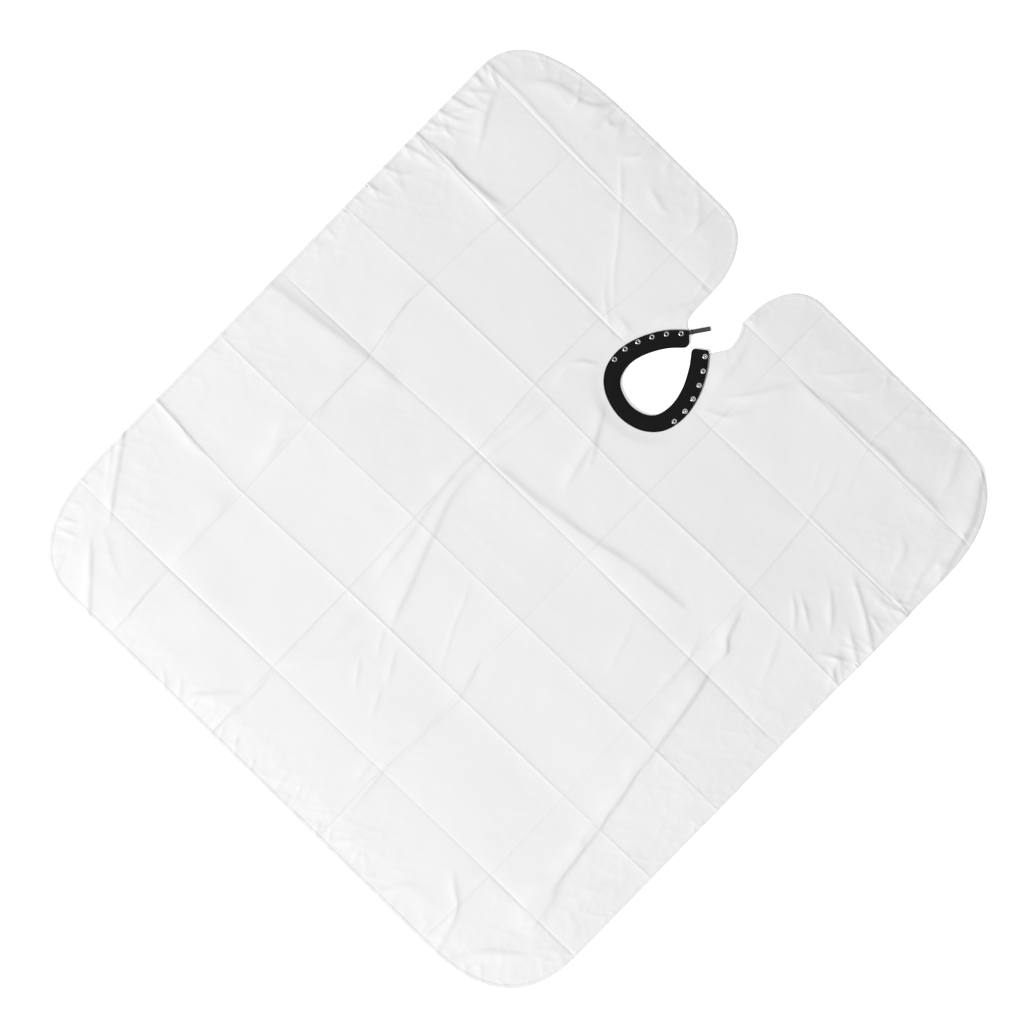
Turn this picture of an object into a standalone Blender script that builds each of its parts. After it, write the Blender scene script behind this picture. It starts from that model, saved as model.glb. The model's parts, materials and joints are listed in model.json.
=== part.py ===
"""A barber's cape laid out flat, in metres, +Z up.

X runs across the cape and +Y points to its back edge, which is open for the neck.
The origin is under the middle of the cape, on the surface it lies on.
The cloth folds at two pressed creases: the front half folds up over the rest,
and the two back flaps, each with one arm of the collar, fold forwards.
"""

import math

import bmesh
import bpy
from mathutils import Matrix, Vector

# The cloth
WIDTH = 1.400
LENGTH = 1.492
CORNER_STEPS = 9
# Each rounded corner is a superellipse: its reach along X and along Y, and its power
BACK_LEFT_CORNER = (0.330, 0.155, 2.8)
BACK_RIGHT_CORNER = (0.175, 0.235, 2.4)
FRONT_LEFT_CORNER = (0.155, 0.250, 2.4)
FRONT_RIGHT_CORNER = (0.250, 0.210, 2.65)
OPENING_LEFT_CORNER = (0.100, 0.150, 2.2)
OPENING_RIGHT_CORNER = (0.100, 0.140, 2.4)
OPENING_HALF_WIDTH = 0.043
# The opening's sides below its corners, down to the collar's arms
OPENING_LEFT_SIDE = [(-0.043, 0.560), (-0.0395, 0.5365), (-0.0330, 0.5245)]
OPENING_RIGHT_SIDE = [(0.051, 0.586), (0.060, 0.566), (0.0615, 0.550), (0.0530, 0.5340)]
HEM_WIDTH = 0.008
HEM_INSET = 0.0005

# The two creases that fold
FLAP_CREASE_Y = 0.413
FRONT_CREASE_Y = 0.035
CREASE_GAP = 0.0004

# Heights of the layers, from the surface up
CLOTH_Z = (0.0, 0.0010)
HEM_Z = (0.0013, 0.0019)
UNDER_FACING_Z = (0.0019, 0.0024)
FOAM_Z = (0.0027, 0.0041)
TOP_FACING_Z = (0.0044, 0.0049)
BINDING_Z = (0.0013, 0.0055)
BINDING_WALL = 0.0003
TOP_METAL_Z = 0.0052
LOW_METAL_Z = 0.0003

# The collar's middle line, from the end of its left arm round to the end of its right arm
COLLAR_LINE = [
    (-0.0104, 0.5071), (-0.0450, 0.4713), (-0.0698, 0.4275), (-0.0797, 0.3850),
    (-0.0705, 0.3465), (-0.0440, 0.3222), (-0.0010, 0.3112), (0.0405, 0.3206),
    (0.0670, 0.3460), (0.0753, 0.3860), (0.0672, 0.4300), (0.0465, 0.4728),
    (0.0205, 0.5080),
]
COLLAR_STEPS = 3
# Half the collar's width, as (distance along Y, half width)
COLLAR_HALF_WIDTHS = [(0.311, 0.0165), (0.330, 0.0169), (0.360, 0.0182), (0.470, 0.0182), (0.505, 0.0176)]
# The radii of each arm's outer and inner corner
ARM_END_RADII = {"left": (0.004, 0.012), "right": (0.005, 0.008)}
BINDING_WIDTH = 0.0012
LAYER_INSET = 0.0007
CLOTH_UNDER_COLLAR = 0.0012

# The snaps
SNAPS_PER_ARM = 6
SNAP_PITCH = 0.0300
SNAP_FROM_END = {"left": 0.0165, "right": 0.0135}
SNAP_FROM_EDGE = 0.0070
SNAP_SIDES = 14
FLANGE_RADIUS = 0.0055
SEAT_RADIUS = 0.0052
PRONG_RADIUS = (0.0034, 0.0040)
LAYER_HOLE_RADIUS = 0.0043
HOLE_SIDES = 10
NUB_RADIUS = 0.0019
NUB_TOP_Z = 0.0072
SPRING_RADIUS = 0.00235
SPRING_WIRE = 0.0004
SPRING_Z = 0.0016
SPRING_TURN = math.radians(290)

# The hanging loop, a folded tape at the left arm's end
LOOP_HEADING = math.radians(55)
LOOP_FROM_MIDDLE = 0.0130
LOOP_WIDTH = 0.009
LOOP_LENGTH = 0.0405
LOOP_HINGE_OUT = 0.0035
LOOP_TAIL_IN = 0.0034
LOOP_TAIL_OUT = 0.0026
FOAM_CUT_BACK = 0.0042
TAPE_PLY = 0.00055
BAR_TACK_SIZE = (0.0026, 0.0115, 0.0006)
BAR_TACK_ALONG = 0.0024

# The heights of the fold axes: what folds over lies just above what it folds onto
FLAP_AXIS_Z = 0.0075
FRONT_AXIS_Z = 0.0105
LOOP_AXIS_Z = 0.0055

WHITE_CLOTH = (0.80, 0.80, 0.80, 1.0)
BLACK_FACING = (0.010, 0.010, 0.011, 1.0)
BLACK_FOAM = (0.020, 0.020, 0.021, 1.0)
BLACK_BINDING = (0.006, 0.006, 0.006, 1.0)
DARK_TAPE = (0.045, 0.045, 0.047, 1.0)
NICKEL = (0.62, 0.62, 0.63, 1.0)
SPRING_STEEL = (0.45, 0.45, 0.46, 1.0)


def clear_scene():
    for item in list(bpy.data.objects):
        bpy.data.objects.remove(item, do_unlink=True)


def make_material(name, colour, roughness, metallic):
    material = bpy.data.materials.new(name)
    material.use_nodes = True
    shader = material.node_tree.nodes["Principled BSDF"]
    shader.inputs["Base Color"].default_value = colour
    shader.inputs["Roughness"].default_value = roughness
    shader.inputs["Metallic"].default_value = metallic
    return material


def smooth_line(points, steps):
    """A Catmull-Rom curve through the points, with this many steps between each two."""
    knots = [Vector(point) for point in points]
    knots = [2 * knots[0] - knots[1]] + knots + [2 * knots[-1] - knots[-2]]
    line = []
    for before, start, end, after in zip(knots, knots[1:], knots[2:], knots[3:]):
        for step in range(steps):
            t = step / steps
            line.append(0.5 * (
                2 * start
                + (end - before) * t
                + (2 * before - 5 * start + 4 * end - after) * t ** 2
                + (3 * start - before - 3 * end + after) * t ** 3
            ))
    return line + [knots[-2]]


def side_normals(line, closed=False):
    """The unit normals on the left of a line, at its points."""
    normals = []
    for index in range(len(line)):
        before = line[index - 1] if index or closed else line[index]
        after = line[(index + 1) % len(line)] if index + 1 < len(line) or closed else line[index]
        along = (after - before).normalized()
        normals.append(Vector((-along.y, along.x)))
    return normals


def offset(line, distance, closed=False):
    """The line moved to its left by the distance."""
    return [point + normal * distance for point, normal in zip(line, side_normals(line, closed))]


def point_along(line, distance):
    for start, end in zip(line, line[1:]):
        span = (end - start).length
        if distance <= span:
            return start.lerp(end, distance / span)
        distance -= span
    return line[-1].copy()


def round_corner(corner, shape, inward, start_along_x):
    """Points round a corner of a superellipse, from one side's edge to the other's.

    inward is the sign of the way from the corner to the cloth along X and along Y.
    """
    reach_x, reach_y, power = shape
    centre = Vector((corner[0] + inward[0] * reach_x, corner[1] + inward[1] * reach_y))
    points = []
    for step in range(CORNER_STEPS + 1):
        turn = math.pi / 2 * step / CORNER_STEPS
        along_x = math.cos(turn) ** (2 / power)
        along_y = math.sin(turn) ** (2 / power)
        points.append(centre - Vector((inward[0] * reach_x * along_x, inward[1] * reach_y * along_y)))
    return points if start_along_x else points[::-1]


def collar_half_width(point):
    before = COLLAR_HALF_WIDTHS[0]
    for after in COLLAR_HALF_WIDTHS[1:]:
        if point.y < after[0]:
            share = max(point.y - before[0], 0.0) / (after[0] - before[0])
            return before[1] + share * (after[1] - before[1])
        before = after
    return before[1]


def arm_end(outer, inner, along, radii):
    """The rounded end of an arm, from its outer corner to its inner corner."""
    across = (inner - outer).normalized()
    points = []
    for corner, sign, radius in ((outer, 1, radii[0]), (inner, -1, radii[1])):
        centre = corner + (sign * across - along) * radius
        turns = [0, 1 / 3, 2 / 3, 1] if sign > 0 else [1, 2 / 3, 1 / 3, 0]
        for share in turns:
            turn = math.pi / 2 * share
            points.append(centre + radius * (math.sin(turn) * along - sign * math.cos(turn) * across))
    return points


class Collar:
    """The collar's lines, seen from above."""

    def __init__(self):
        self.middle = smooth_line(COLLAR_LINE, COLLAR_STEPS)
        normals = side_normals(self.middle)
        widths = [collar_half_width(point) for point in self.middle]
        # The middle line runs round the neck anticlockwise, so its left is the neck's side
        inner = [point + normal * width for point, normal, width in zip(self.middle, normals, widths)]
        outer = [point - normal * width for point, normal, width in zip(self.middle, normals, widths)]
        self.left_heading = (self.middle[0] - self.middle[1]).normalized()
        self.right_heading = (self.middle[-1] - self.middle[-2]).normalized()
        left_end = arm_end(outer[0], inner[0], self.left_heading, ARM_END_RADII["left"])
        right_end = arm_end(outer[-1], inner[-1], self.right_heading, ARM_END_RADII["right"])[::-1]
        self.neck_side = left_end + self.trimmed(inner, 1) + right_end
        self.outer_side = self.trimmed(outer, 0)[::-1]
        self.outline = self.neck_side + self.outer_side
        self.snap_line = [
            point - normal * (width - SNAP_FROM_EDGE)
            for point, normal, width in zip(self.middle, normals, widths)
        ]

    @staticmethod
    def trimmed(line, corner):
        """The outer (0) or inner (1) line without the points that its rounded ends replace."""
        return [
            point for point in line
            if (point - line[0]).length > ARM_END_RADII["left"][corner] * 1.1
            and (point - line[-1]).length > ARM_END_RADII["right"][corner] * 1.1
        ]

    def snaps(self, side):
        line = self.snap_line if side == "left" else self.snap_line[::-1]
        first = SNAP_FROM_END[side]
        return [point_along(line, first + SNAP_PITCH * number) for number in range(SNAPS_PER_ARM)]

    def all_snaps(self):
        return self.snaps("left") + self.snaps("right")


def cloth_edge():
    """The cloth's free edge, from the collar's left arm round the cape to its right arm."""
    x = WIDTH / 2
    y = LENGTH / 2
    half = OPENING_HALF_WIDTH
    edge = [Vector(point) for point in reversed(OPENING_LEFT_SIDE)]
    edge += round_corner((-half, y), OPENING_LEFT_CORNER, (-1, -1), True)
    edge += round_corner((-x, y), BACK_LEFT_CORNER, (1, -1), False)
    edge += round_corner((-x, -y), FRONT_LEFT_CORNER, (1, 1), True)
    edge += round_corner((x, -y), FRONT_RIGHT_CORNER, (-1, 1), False)
    edge += round_corner((x, y), BACK_RIGHT_CORNER, (-1, -1), True)
    edge += round_corner((half, y), OPENING_RIGHT_CORNER, (1, -1), False)
    edge += [Vector(point) for point in OPENING_RIGHT_SIDE]
    return edge


def circle(centre, radius, sides):
    return [
        centre + radius * Vector((math.cos(math.tau * step / sides), math.sin(math.tau * step / sides)))
        for step in range(sides)
    ]


def plate(outline, heights, holes=()):
    """A flat layer with this outline and these holes."""
    shape = bmesh.new()
    for loop in (outline, *holes):
        corners = [shape.verts.new((point.x, point.y, heights[0])) for point in loop]
        for start, end in zip(corners, corners[1:] + corners[:1]):
            shape.edges.new((start, end))
    bmesh.ops.triangle_fill(shape, use_beauty=True, use_dissolve=False, edges=shape.edges[:])
    grown = bmesh.ops.extrude_face_region(shape, geom=shape.faces[:])["geom"]
    raised = [item for item in grown if isinstance(item, bmesh.types.BMVert)]
    bmesh.ops.translate(shape, vec=(0, 0, heights[1] - heights[0]), verts=raised)
    bmesh.ops.recalc_face_normals(shape, faces=shape.faces[:])
    return shape


def swept(line, section):
    """A section, as (distance to the line's left, height), carried along the line."""
    shape = bmesh.new()
    rings = []
    for point, normal in zip(line, side_normals(line)):
        places = [(point + normal * across, height) for across, height in section]
        rings.append([shape.verts.new((place.x, place.y, height)) for place, height in places])
    for ring, following in zip(rings, rings[1:]):
        for index in range(len(section)):
            after = (index + 1) % len(section)
            shape.faces.new((ring[index], ring[after], following[after], following[index]))
    shape.faces.new(rings[0])
    shape.faces.new(rings[-1])
    bmesh.ops.recalc_face_normals(shape, faces=shape.faces[:])
    return shape


def turned(profile, centre):
    """A closed profile of (radius, height) turned about an upright axis at the centre."""
    shape = bmesh.new()
    corners = [shape.verts.new((centre.x + radius, centre.y, height)) for radius, height in profile]
    edges = [shape.edges.new(pair) for pair in zip(corners, corners[1:] + corners[:1])]
    bmesh.ops.spin(
        shape, geom=corners + edges, cent=(centre.x, centre.y, 0), axis=(0, 0, 1),
        angle=math.tau, steps=SNAP_SIDES, use_merge=True,
    )
    bmesh.ops.recalc_face_normals(shape, faces=shape.faces[:])
    return shape


def cut(shape, point, keep):
    """Cuts the shape with a plane and keeps the side that keep points to."""
    bmesh.ops.bisect_plane(
        shape, geom=shape.verts[:] + shape.edges[:] + shape.faces[:],
        plane_co=point, plane_no=keep, clear_inner=True,
    )
    open_edges = [edge for edge in shape.edges if edge.is_boundary]
    bmesh.ops.holes_fill(shape, edges=open_edges, sides=0)
    bmesh.ops.recalc_face_normals(shape, faces=shape.faces[:])
    return shape


def keep_island(shape, near):
    """Keeps only the connected body that comes nearest to a point."""
    first = min(shape.verts, key=lambda vert: (vert.co - Vector(near)).length)
    found = {first}
    edge_of_search = [first]
    while edge_of_search:
        vert = edge_of_search.pop()
        for edge in vert.link_edges:
            other = edge.other_vert(vert)
            if other not in found:
                found.add(other)
                edge_of_search.append(other)
    bmesh.ops.delete(shape, geom=[vert for vert in shape.verts if vert not in found], context="VERTS")
    return shape


def behind_flap_crease(shape):
    return cut(shape, (0, FLAP_CREASE_Y + CREASE_GAP / 2, 0), (0, 1, 0))


def before_flap_crease(shape):
    return cut(shape, (0, FLAP_CREASE_Y - CREASE_GAP / 2, 0), (0, -1, 0))


def behind_front_crease(shape):
    return cut(shape, (0, FRONT_CREASE_Y + CREASE_GAP / 2, 0), (0, 1, 0))


def before_front_crease(shape):
    return cut(shape, (0, FRONT_CREASE_Y - CREASE_GAP / 2, 0), (0, -1, 0))


def place(name, shape, material, hinge, smooth=False):
    """Turns the shape into an object with its origin on the hinge that it moves with."""
    bmesh.ops.translate(shape, vec=-hinge.location, verts=shape.verts[:])
    mesh = bpy.data.meshes.new(name)
    shape.to_mesh(mesh)
    shape.free()
    mesh.materials.append(material)
    if smooth:
        mesh.shade_smooth()
        mesh.set_sharp_from_angle(angle=math.radians(35))
    item = bpy.data.objects.new(name, mesh)
    bpy.context.collection.objects.link(item)
    item.parent = hinge
    return item


def make_hinge(name, location, parent=None):
    """An empty on a fold's axis; every hinge is placed in the cape's own frame."""
    hinge = bpy.data.objects.new(name, None)
    hinge.empty_display_size = 0.02
    bpy.context.collection.objects.link(hinge)
    hinge.location = location
    if parent:
        hinge.parent = parent
        hinge.matrix_parent_inverse = Matrix.Translation(-parent.location)
    return hinge


def make_cloth(collar, hinges, material):
    # The neck edge is sewn under the collar's outer edge, clear of the snaps
    outline = cloth_edge() + offset(collar.outer_side, -CLOTH_UNDER_COLLAR)

    def cloth():
        return plate(outline, CLOTH_Z)

    middle = before_flap_crease(behind_front_crease(cloth()))
    place("cloth_middle", middle, material, hinges["root"])
    place("cloth_front_half", before_front_crease(cloth()), material, hinges["front_half"])
    for side, sign in (("left", -1), ("right", 1)):
        flap = keep_island(behind_flap_crease(cloth()), (sign * WIDTH / 2, LENGTH / 4, 0))
        place(f"cloth_{side}_back_flap", flap, material, hinges[f"{side}_flap"])


def make_hems(hinges, material):
    """The hem is the cloth's edge folded over twice, all along the free edge."""
    edge = cloth_edge()
    section = [
        (HEM_INSET, HEM_Z[0]), (HEM_INSET + HEM_WIDTH, HEM_Z[0]),
        (HEM_INSET + HEM_WIDTH, HEM_Z[1]), (HEM_INSET, HEM_Z[1]),
    ]

    def hem():
        return swept(edge, section)

    place("hem_front", before_front_crease(hem()), material, hinges["front_half"])
    for side, sign in (("left", -1), ("right", 1)):
        strip = before_flap_crease(behind_front_crease(hem()))
        strip = keep_island(strip, (sign * WIDTH / 2, FLAP_CREASE_Y / 2, 0))
        place(f"hem_{side}_side", strip, material, hinges["root"])
        back = keep_island(behind_flap_crease(hem()), (sign * WIDTH / 2, LENGTH / 4, 0))
        place(f"hem_{side}_back", back, material, hinges[f"{side}_flap"])


def make_collar_layer(collar, name, heights, material, hinges, foam=False):
    """One layer of the collar in its three lengths: the band's front and its two arms."""
    outline = offset(collar.outline, -LAYER_INSET, closed=True)
    holes = [circle(spot, LAYER_HOLE_RADIUS, HOLE_SIDES) for spot in collar.all_snaps()]

    def layer():
        return plate(outline, heights, holes)

    place(f"{name}_front", before_flap_crease(layer()), material, hinges["root"])
    for side, end in (("left", collar.middle[0]), ("right", collar.middle[-1])):
        arm = keep_island(behind_flap_crease(layer()), (end.x, end.y, heights[0]))
        if foam and side == "left":
            # The foam stops short of the hanging loop's sewn tail
            heading = collar.left_heading
            at = end - heading * FOAM_CUT_BACK
            cut(arm, (at.x, at.y, 0), (-heading.x, -heading.y, 0))
        place(f"{name}_{side}_arm", arm, material, hinges[f"{side}_flap"])


def make_binding(collar, hinges, material):
    """A tape folded over the collar's raw edge; the left arm's end stays open for the loop."""
    bound = collar.neck_side[4:] + collar.outer_side[:-1]
    low, high = BINDING_Z
    outside = [(0, low), (-BINDING_WIDTH, low)]
    inside = [
        (-BINDING_WIDTH, low + BINDING_WALL), (-BINDING_WALL, low + BINDING_WALL),
        (-BINDING_WALL, high - BINDING_WALL), (-BINDING_WIDTH, high - BINDING_WALL),
    ]
    section = outside + inside + [(-BINDING_WIDTH, high), (0, high)]

    def binding():
        return swept(bound, section)

    front = collar.middle[len(collar.middle) // 2]
    half_width = collar_half_width(front)
    outer_point = (front.x, front.y - half_width, low)
    inner_point = (front.x, front.y + half_width, low)
    root = hinges["root"]
    place("binding_front_outer", keep_island(before_flap_crease(binding()), outer_point), material, root)
    place("binding_front_inner", keep_island(before_flap_crease(binding()), inner_point), material, root)
    left = hinges["left_flap"]
    outer_arm = (*collar.outer_side[-2], low)
    inner_arm = (*collar.neck_side[6], low)
    right_arm = (*collar.middle[-1], low)
    place("binding_left_outer", keep_island(behind_flap_crease(binding()), outer_arm), material, left)
    place("binding_left_inner", keep_island(behind_flap_crease(binding()), inner_arm), material, left)
    right = hinges["right_flap"]
    place("binding_right_arm", keep_island(behind_flap_crease(binding()), right_arm), material, right)


def prong_ring(centre, flange_low, flange_high, prong_tip):
    """A flat ring with its prongs, drawn as the tube that the prongs stand in."""
    inner, outer = PRONG_RADIUS
    near, far = (flange_low, flange_high) if prong_tip < flange_low else (flange_high, flange_low)
    profile = [
        (inner, prong_tip), (outer, prong_tip), (outer, near), (FLANGE_RADIUS, near),
        (FLANGE_RADIUS, (near + far) / 2), (FLANGE_RADIUS - 0.0006, far), (inner, far),
    ]
    return turned(profile, centre)


def snap_socket(centre):
    low = LOW_METAL_Z
    seat = low + 0.0007
    lip = low + 0.0006
    wall = (0.0027, 0.0031)
    cup_top = 0.0024
    profile = [
        (NUB_RADIUS + 0.0002, low), (SEAT_RADIUS, low), (SEAT_RADIUS, seat), (wall[1], seat),
        (wall[1], cup_top), (wall[0], cup_top), (wall[0], lip), (NUB_RADIUS + 0.0002, lip),
    ]
    return turned(profile, centre)


def snap_stud(centre):
    low = TOP_METAL_Z
    neck = NUB_RADIUS - 0.0002
    bore = NUB_RADIUS - 0.0008
    profile = [
        (bore, low), (FLANGE_RADIUS, low), (FLANGE_RADIUS, low + 0.0003),
        (FLANGE_RADIUS - 0.0006, low + 0.0006), (neck, low + 0.0006), (NUB_RADIUS, NUB_TOP_Z - 0.0005),
        (neck, NUB_TOP_Z), (bore, NUB_TOP_Z),
    ]
    return turned(profile, centre)


def socket_spring(centre):
    """The split wire ring that grips the stud."""
    steps = 10
    sides = 5
    shape = bmesh.new()
    rings = []
    for step in range(steps + 1):
        turn = SPRING_TURN * step / steps
        ring = []
        for side in range(sides):
            round_wire = math.tau * side / sides
            radius = SPRING_RADIUS + SPRING_WIRE / 2 * math.cos(round_wire)
            height = SPRING_Z + SPRING_WIRE / 2 * math.sin(round_wire)
            ring.append(shape.verts.new((
                centre.x + radius * math.cos(turn), centre.y + radius * math.sin(turn), height,
            )))
        rings.append(ring)
    for ring, following in zip(rings, rings[1:]):
        for side in range(sides):
            after = (side + 1) % sides
            shape.faces.new((ring[side], ring[after], following[after], following[side]))
    shape.faces.new(rings[0])
    shape.faces.new(rings[-1])
    bmesh.ops.recalc_face_normals(shape, faces=shape.faces[:])
    return shape


def make_snaps(collar, hinges, nickel, steel):
    """Rings above sockets on the left arm, and studs above rings on the right arm."""
    prong_gap = 0.0003
    under_ring_top = LOW_METAL_Z + 0.0007
    for side in ("left", "right"):
        for number, spot in enumerate(collar.snaps(side), start=1):
            hinge = hinges[f"{side}_flap"] if spot.y > FLAP_CREASE_Y else hinges["root"]
            if side == "left":
                ring = prong_ring(spot, TOP_METAL_Z, TOP_METAL_Z + 0.0006, under_ring_top + prong_gap)
                place(f"snap_ring_left_{number}", ring, nickel, hinge, smooth=True)
                place(f"snap_socket_{number}", snap_socket(spot), nickel, hinge, smooth=True)
                place(f"snap_spring_{number}", socket_spring(spot), steel, hinge, smooth=True)
            else:
                ring = prong_ring(spot, LOW_METAL_Z, under_ring_top, TOP_METAL_Z - prong_gap)
                place(f"snap_ring_right_{number}", ring, nickel, hinge, smooth=True)
                place(f"snap_stud_{number}", snap_stud(spot), nickel, hinge, smooth=True)


def block(start, heading, reach, across, heights):
    """A flat block along a heading, from reach[0] to reach[1], this wide and this high."""
    side = Vector((-heading.y, heading.x)) * across / 2
    corners = [
        start + heading * reach[0] - side, start + heading * reach[1] - side,
        start + heading * reach[1] + side, start + heading * reach[0] + side,
    ]
    return plate(corners, heights)


def folded_tape(start, heading, length, width):
    """A tape folded back on itself, closed at its far end, with its two plies apart."""
    low, high = FOAM_Z
    section = [
        (0, low), (length, low), (length, high), (0, high),
        (0, high - TAPE_PLY), (length - TAPE_PLY, high - TAPE_PLY),
        (length - TAPE_PLY, low + TAPE_PLY), (0, low + TAPE_PLY),
    ]
    side = Vector((-heading.y, heading.x)) * width / 2
    shape = bmesh.new()
    ends = []
    for sign in (-1, 1):
        places = [(start + heading * along + sign * side, height) for along, height in section]
        ends.append([shape.verts.new((spot.x, spot.y, height)) for spot, height in places])
        shape.faces.new(ends[-1])
    for index in range(len(section)):
        after = (index + 1) % len(section)
        shape.faces.new((ends[0][index], ends[0][after], ends[1][after], ends[1][index]))
    bmesh.ops.recalc_face_normals(shape, faces=shape.faces[:])
    return shape


def loop_places(collar):
    """Where the tape leaves the left arm's end, its heading, and its hinge point."""
    across = Vector((-collar.left_heading.y, collar.left_heading.x))
    leaves = collar.middle[0] + across * LOOP_FROM_MIDDLE
    heading = Vector((math.cos(LOOP_HEADING), math.sin(LOOP_HEADING)))
    return leaves, heading, leaves + heading * LOOP_HINGE_OUT


def make_hanging_loop(collar, hinges, tape, thread):
    leaves, heading, hinge_point = loop_places(collar)
    tail = block(leaves, heading, (-LOOP_TAIL_IN, LOOP_TAIL_OUT), LOOP_WIDTH, FOAM_Z)
    place("hanging_loop_tail", tail, tape, hinges["left_flap"])
    loop = folded_tape(hinge_point, heading, LOOP_LENGTH, LOOP_WIDTH)
    place("hanging_loop_tape", loop, tape, hinges["hanging_loop"])
    thick, across, high = BAR_TACK_SIZE
    base = FOAM_Z[1] + 0.0003
    reach = (BAR_TACK_ALONG - thick / 2, BAR_TACK_ALONG + thick / 2)
    tack = block(hinge_point, heading, reach, across, (base, base + high))
    place("hanging_loop_bar_tack", tack, thread, hinges["hanging_loop"])


def make_hinges(collar):
    root = make_hinge("cape_frame", Vector((0, 0, 0)))
    left = make_hinge("left_flap_axis", Vector((0, FLAP_CREASE_Y, FLAP_AXIS_Z)), root)
    loop_point = loop_places(collar)[2]
    return {
        "root": root,
        "left_flap": left,
        "right_flap": make_hinge("right_flap_axis", Vector((0, FLAP_CREASE_Y, FLAP_AXIS_Z)), root),
        "front_half": make_hinge("front_half_axis", Vector((0, FRONT_CREASE_Y, FRONT_AXIS_Z)), root),
        "hanging_loop": make_hinge("hanging_loop_axis", Vector((*loop_point, LOOP_AXIS_Z)), left),
    }


def main():
    clear_scene()
    cloth = make_material("white cape cloth", WHITE_CLOTH, 0.85, 0.0)
    facing = make_material("black jersey facing", BLACK_FACING, 0.9, 0.0)
    foam = make_material("black collar foam", BLACK_FOAM, 0.95, 0.0)
    binding = make_material("black binding tape", BLACK_BINDING, 0.85, 0.0)
    tape = make_material("dark woven tape", DARK_TAPE, 0.8, 0.0)
    nickel = make_material("nickel plated snap", NICKEL, 0.25, 1.0)
    steel = make_material("snap spring wire", SPRING_STEEL, 0.3, 1.0)
    collar = Collar()
    hinges = make_hinges(collar)
    make_cloth(collar, hinges, cloth)
    make_hems(hinges, cloth)
    make_collar_layer(collar, "collar_under_facing", UNDER_FACING_Z, facing, hinges)
    make_collar_layer(collar, "collar_foam", FOAM_Z, foam, hinges, foam=True)
    make_collar_layer(collar, "collar_top_facing", TOP_FACING_Z, facing, hinges)
    make_binding(collar, hinges, binding)
    make_snaps(collar, hinges, nickel, steel)
    make_hanging_loop(collar, hinges, tape, binding)


main()
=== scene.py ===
"""A white barber's cape laid out flat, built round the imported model. Metres, +Z up.

X runs across the cape and +Y points to its back edge, which is open for the neck.
"""

import json
import math

import bmesh
import bpy
import numpy as np
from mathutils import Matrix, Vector
from mathutils.kdtree import KDTree


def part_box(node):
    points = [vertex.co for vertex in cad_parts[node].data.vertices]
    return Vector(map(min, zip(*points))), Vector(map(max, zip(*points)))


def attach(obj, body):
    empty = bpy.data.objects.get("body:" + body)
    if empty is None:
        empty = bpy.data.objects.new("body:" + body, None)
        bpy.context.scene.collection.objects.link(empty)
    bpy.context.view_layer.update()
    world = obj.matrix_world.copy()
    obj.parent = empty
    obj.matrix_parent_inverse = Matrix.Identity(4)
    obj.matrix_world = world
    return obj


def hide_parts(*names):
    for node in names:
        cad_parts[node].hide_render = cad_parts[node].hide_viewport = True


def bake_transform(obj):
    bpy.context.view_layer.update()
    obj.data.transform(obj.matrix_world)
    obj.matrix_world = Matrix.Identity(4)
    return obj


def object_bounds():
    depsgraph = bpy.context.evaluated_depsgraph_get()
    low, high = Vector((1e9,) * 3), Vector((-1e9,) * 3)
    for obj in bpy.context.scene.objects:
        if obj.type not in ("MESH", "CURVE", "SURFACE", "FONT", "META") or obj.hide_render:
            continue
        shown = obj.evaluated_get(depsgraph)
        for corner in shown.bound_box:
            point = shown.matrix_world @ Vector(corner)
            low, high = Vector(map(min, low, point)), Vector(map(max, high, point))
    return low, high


bl_info = {
    "name": "Barber Cape",
    "version": (1, 0, 0),
    "blender": (4, 5, 0),
    "location": "3D Viewport > Sidebar > Cape",
    "description": "Builds the cloth, hem, padded snap collar and hanging loop of a barber's cape",
    "category": "Add Mesh",
}

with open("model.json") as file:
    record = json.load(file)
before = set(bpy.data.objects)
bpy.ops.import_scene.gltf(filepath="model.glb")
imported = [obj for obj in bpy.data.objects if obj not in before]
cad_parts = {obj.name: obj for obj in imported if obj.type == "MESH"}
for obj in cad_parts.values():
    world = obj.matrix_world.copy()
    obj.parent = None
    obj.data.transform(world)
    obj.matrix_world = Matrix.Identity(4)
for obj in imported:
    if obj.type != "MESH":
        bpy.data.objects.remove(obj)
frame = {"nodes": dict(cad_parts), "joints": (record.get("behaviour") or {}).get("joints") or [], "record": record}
CAD_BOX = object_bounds()
JOINTS = {joint["name"]: joint for joint in frame["joints"]}

# The frame's own sizes
WIDTH = CAD_BOX[1][0] - CAD_BOX[0][0]
LENGTH = CAD_BOX[1][1] - CAD_BOX[0][1]
FLAP_CREASE_Y = JOINTS["left_flap_fold"]["pos_m"][1]
FRONT_CREASE_Y = JOINTS["front_half_fold"]["pos_m"][1]
# How high the front half's cloth may stand, so that it clears a folded flap when it is folded too
FOLD_ROOM = 2 * (JOINTS["front_half_fold"]["pos_m"][2] - JOINTS["left_flap_fold"]["pos_m"][2]) - 0.0008
# and how much less where it lands on a folded flap's bend
BEND_BULGE = 0.0009

# The cut: each rounded corner is a superellipse with a reach along X, along Y, and a power
BACK_LEFT_CORNER = (0.330, 0.155, 2.8)
BACK_RIGHT_CORNER = (0.175, 0.235, 2.4)
FRONT_LEFT_CORNER = (0.155, 0.250, 2.4)
FRONT_RIGHT_CORNER = (0.250, 0.210, 2.65)
OPENING_LEFT_CORNER = (0.100, 0.150, 2.2)
OPENING_RIGHT_CORNER = (0.100, 0.140, 2.4)
OPENING_HALF_WIDTH = 0.043
OPENING_LEFT_SIDE = [
    (-0.0190, 0.5160), (-0.0250, 0.5205), (-0.0328, 0.5254), (-0.0395, 0.5350), (-0.043, 0.560),
]
OPENING_RIGHT_SIDE = [
    (0.049, 0.598), (0.0575, 0.578), (0.0615, 0.5540), (0.0555, 0.5385), (0.0480, 0.5278),
    (0.0412, 0.5174), (0.0340, 0.5080),
]
CLOTH_UNDER_COLLAR = 0.0040

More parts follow.
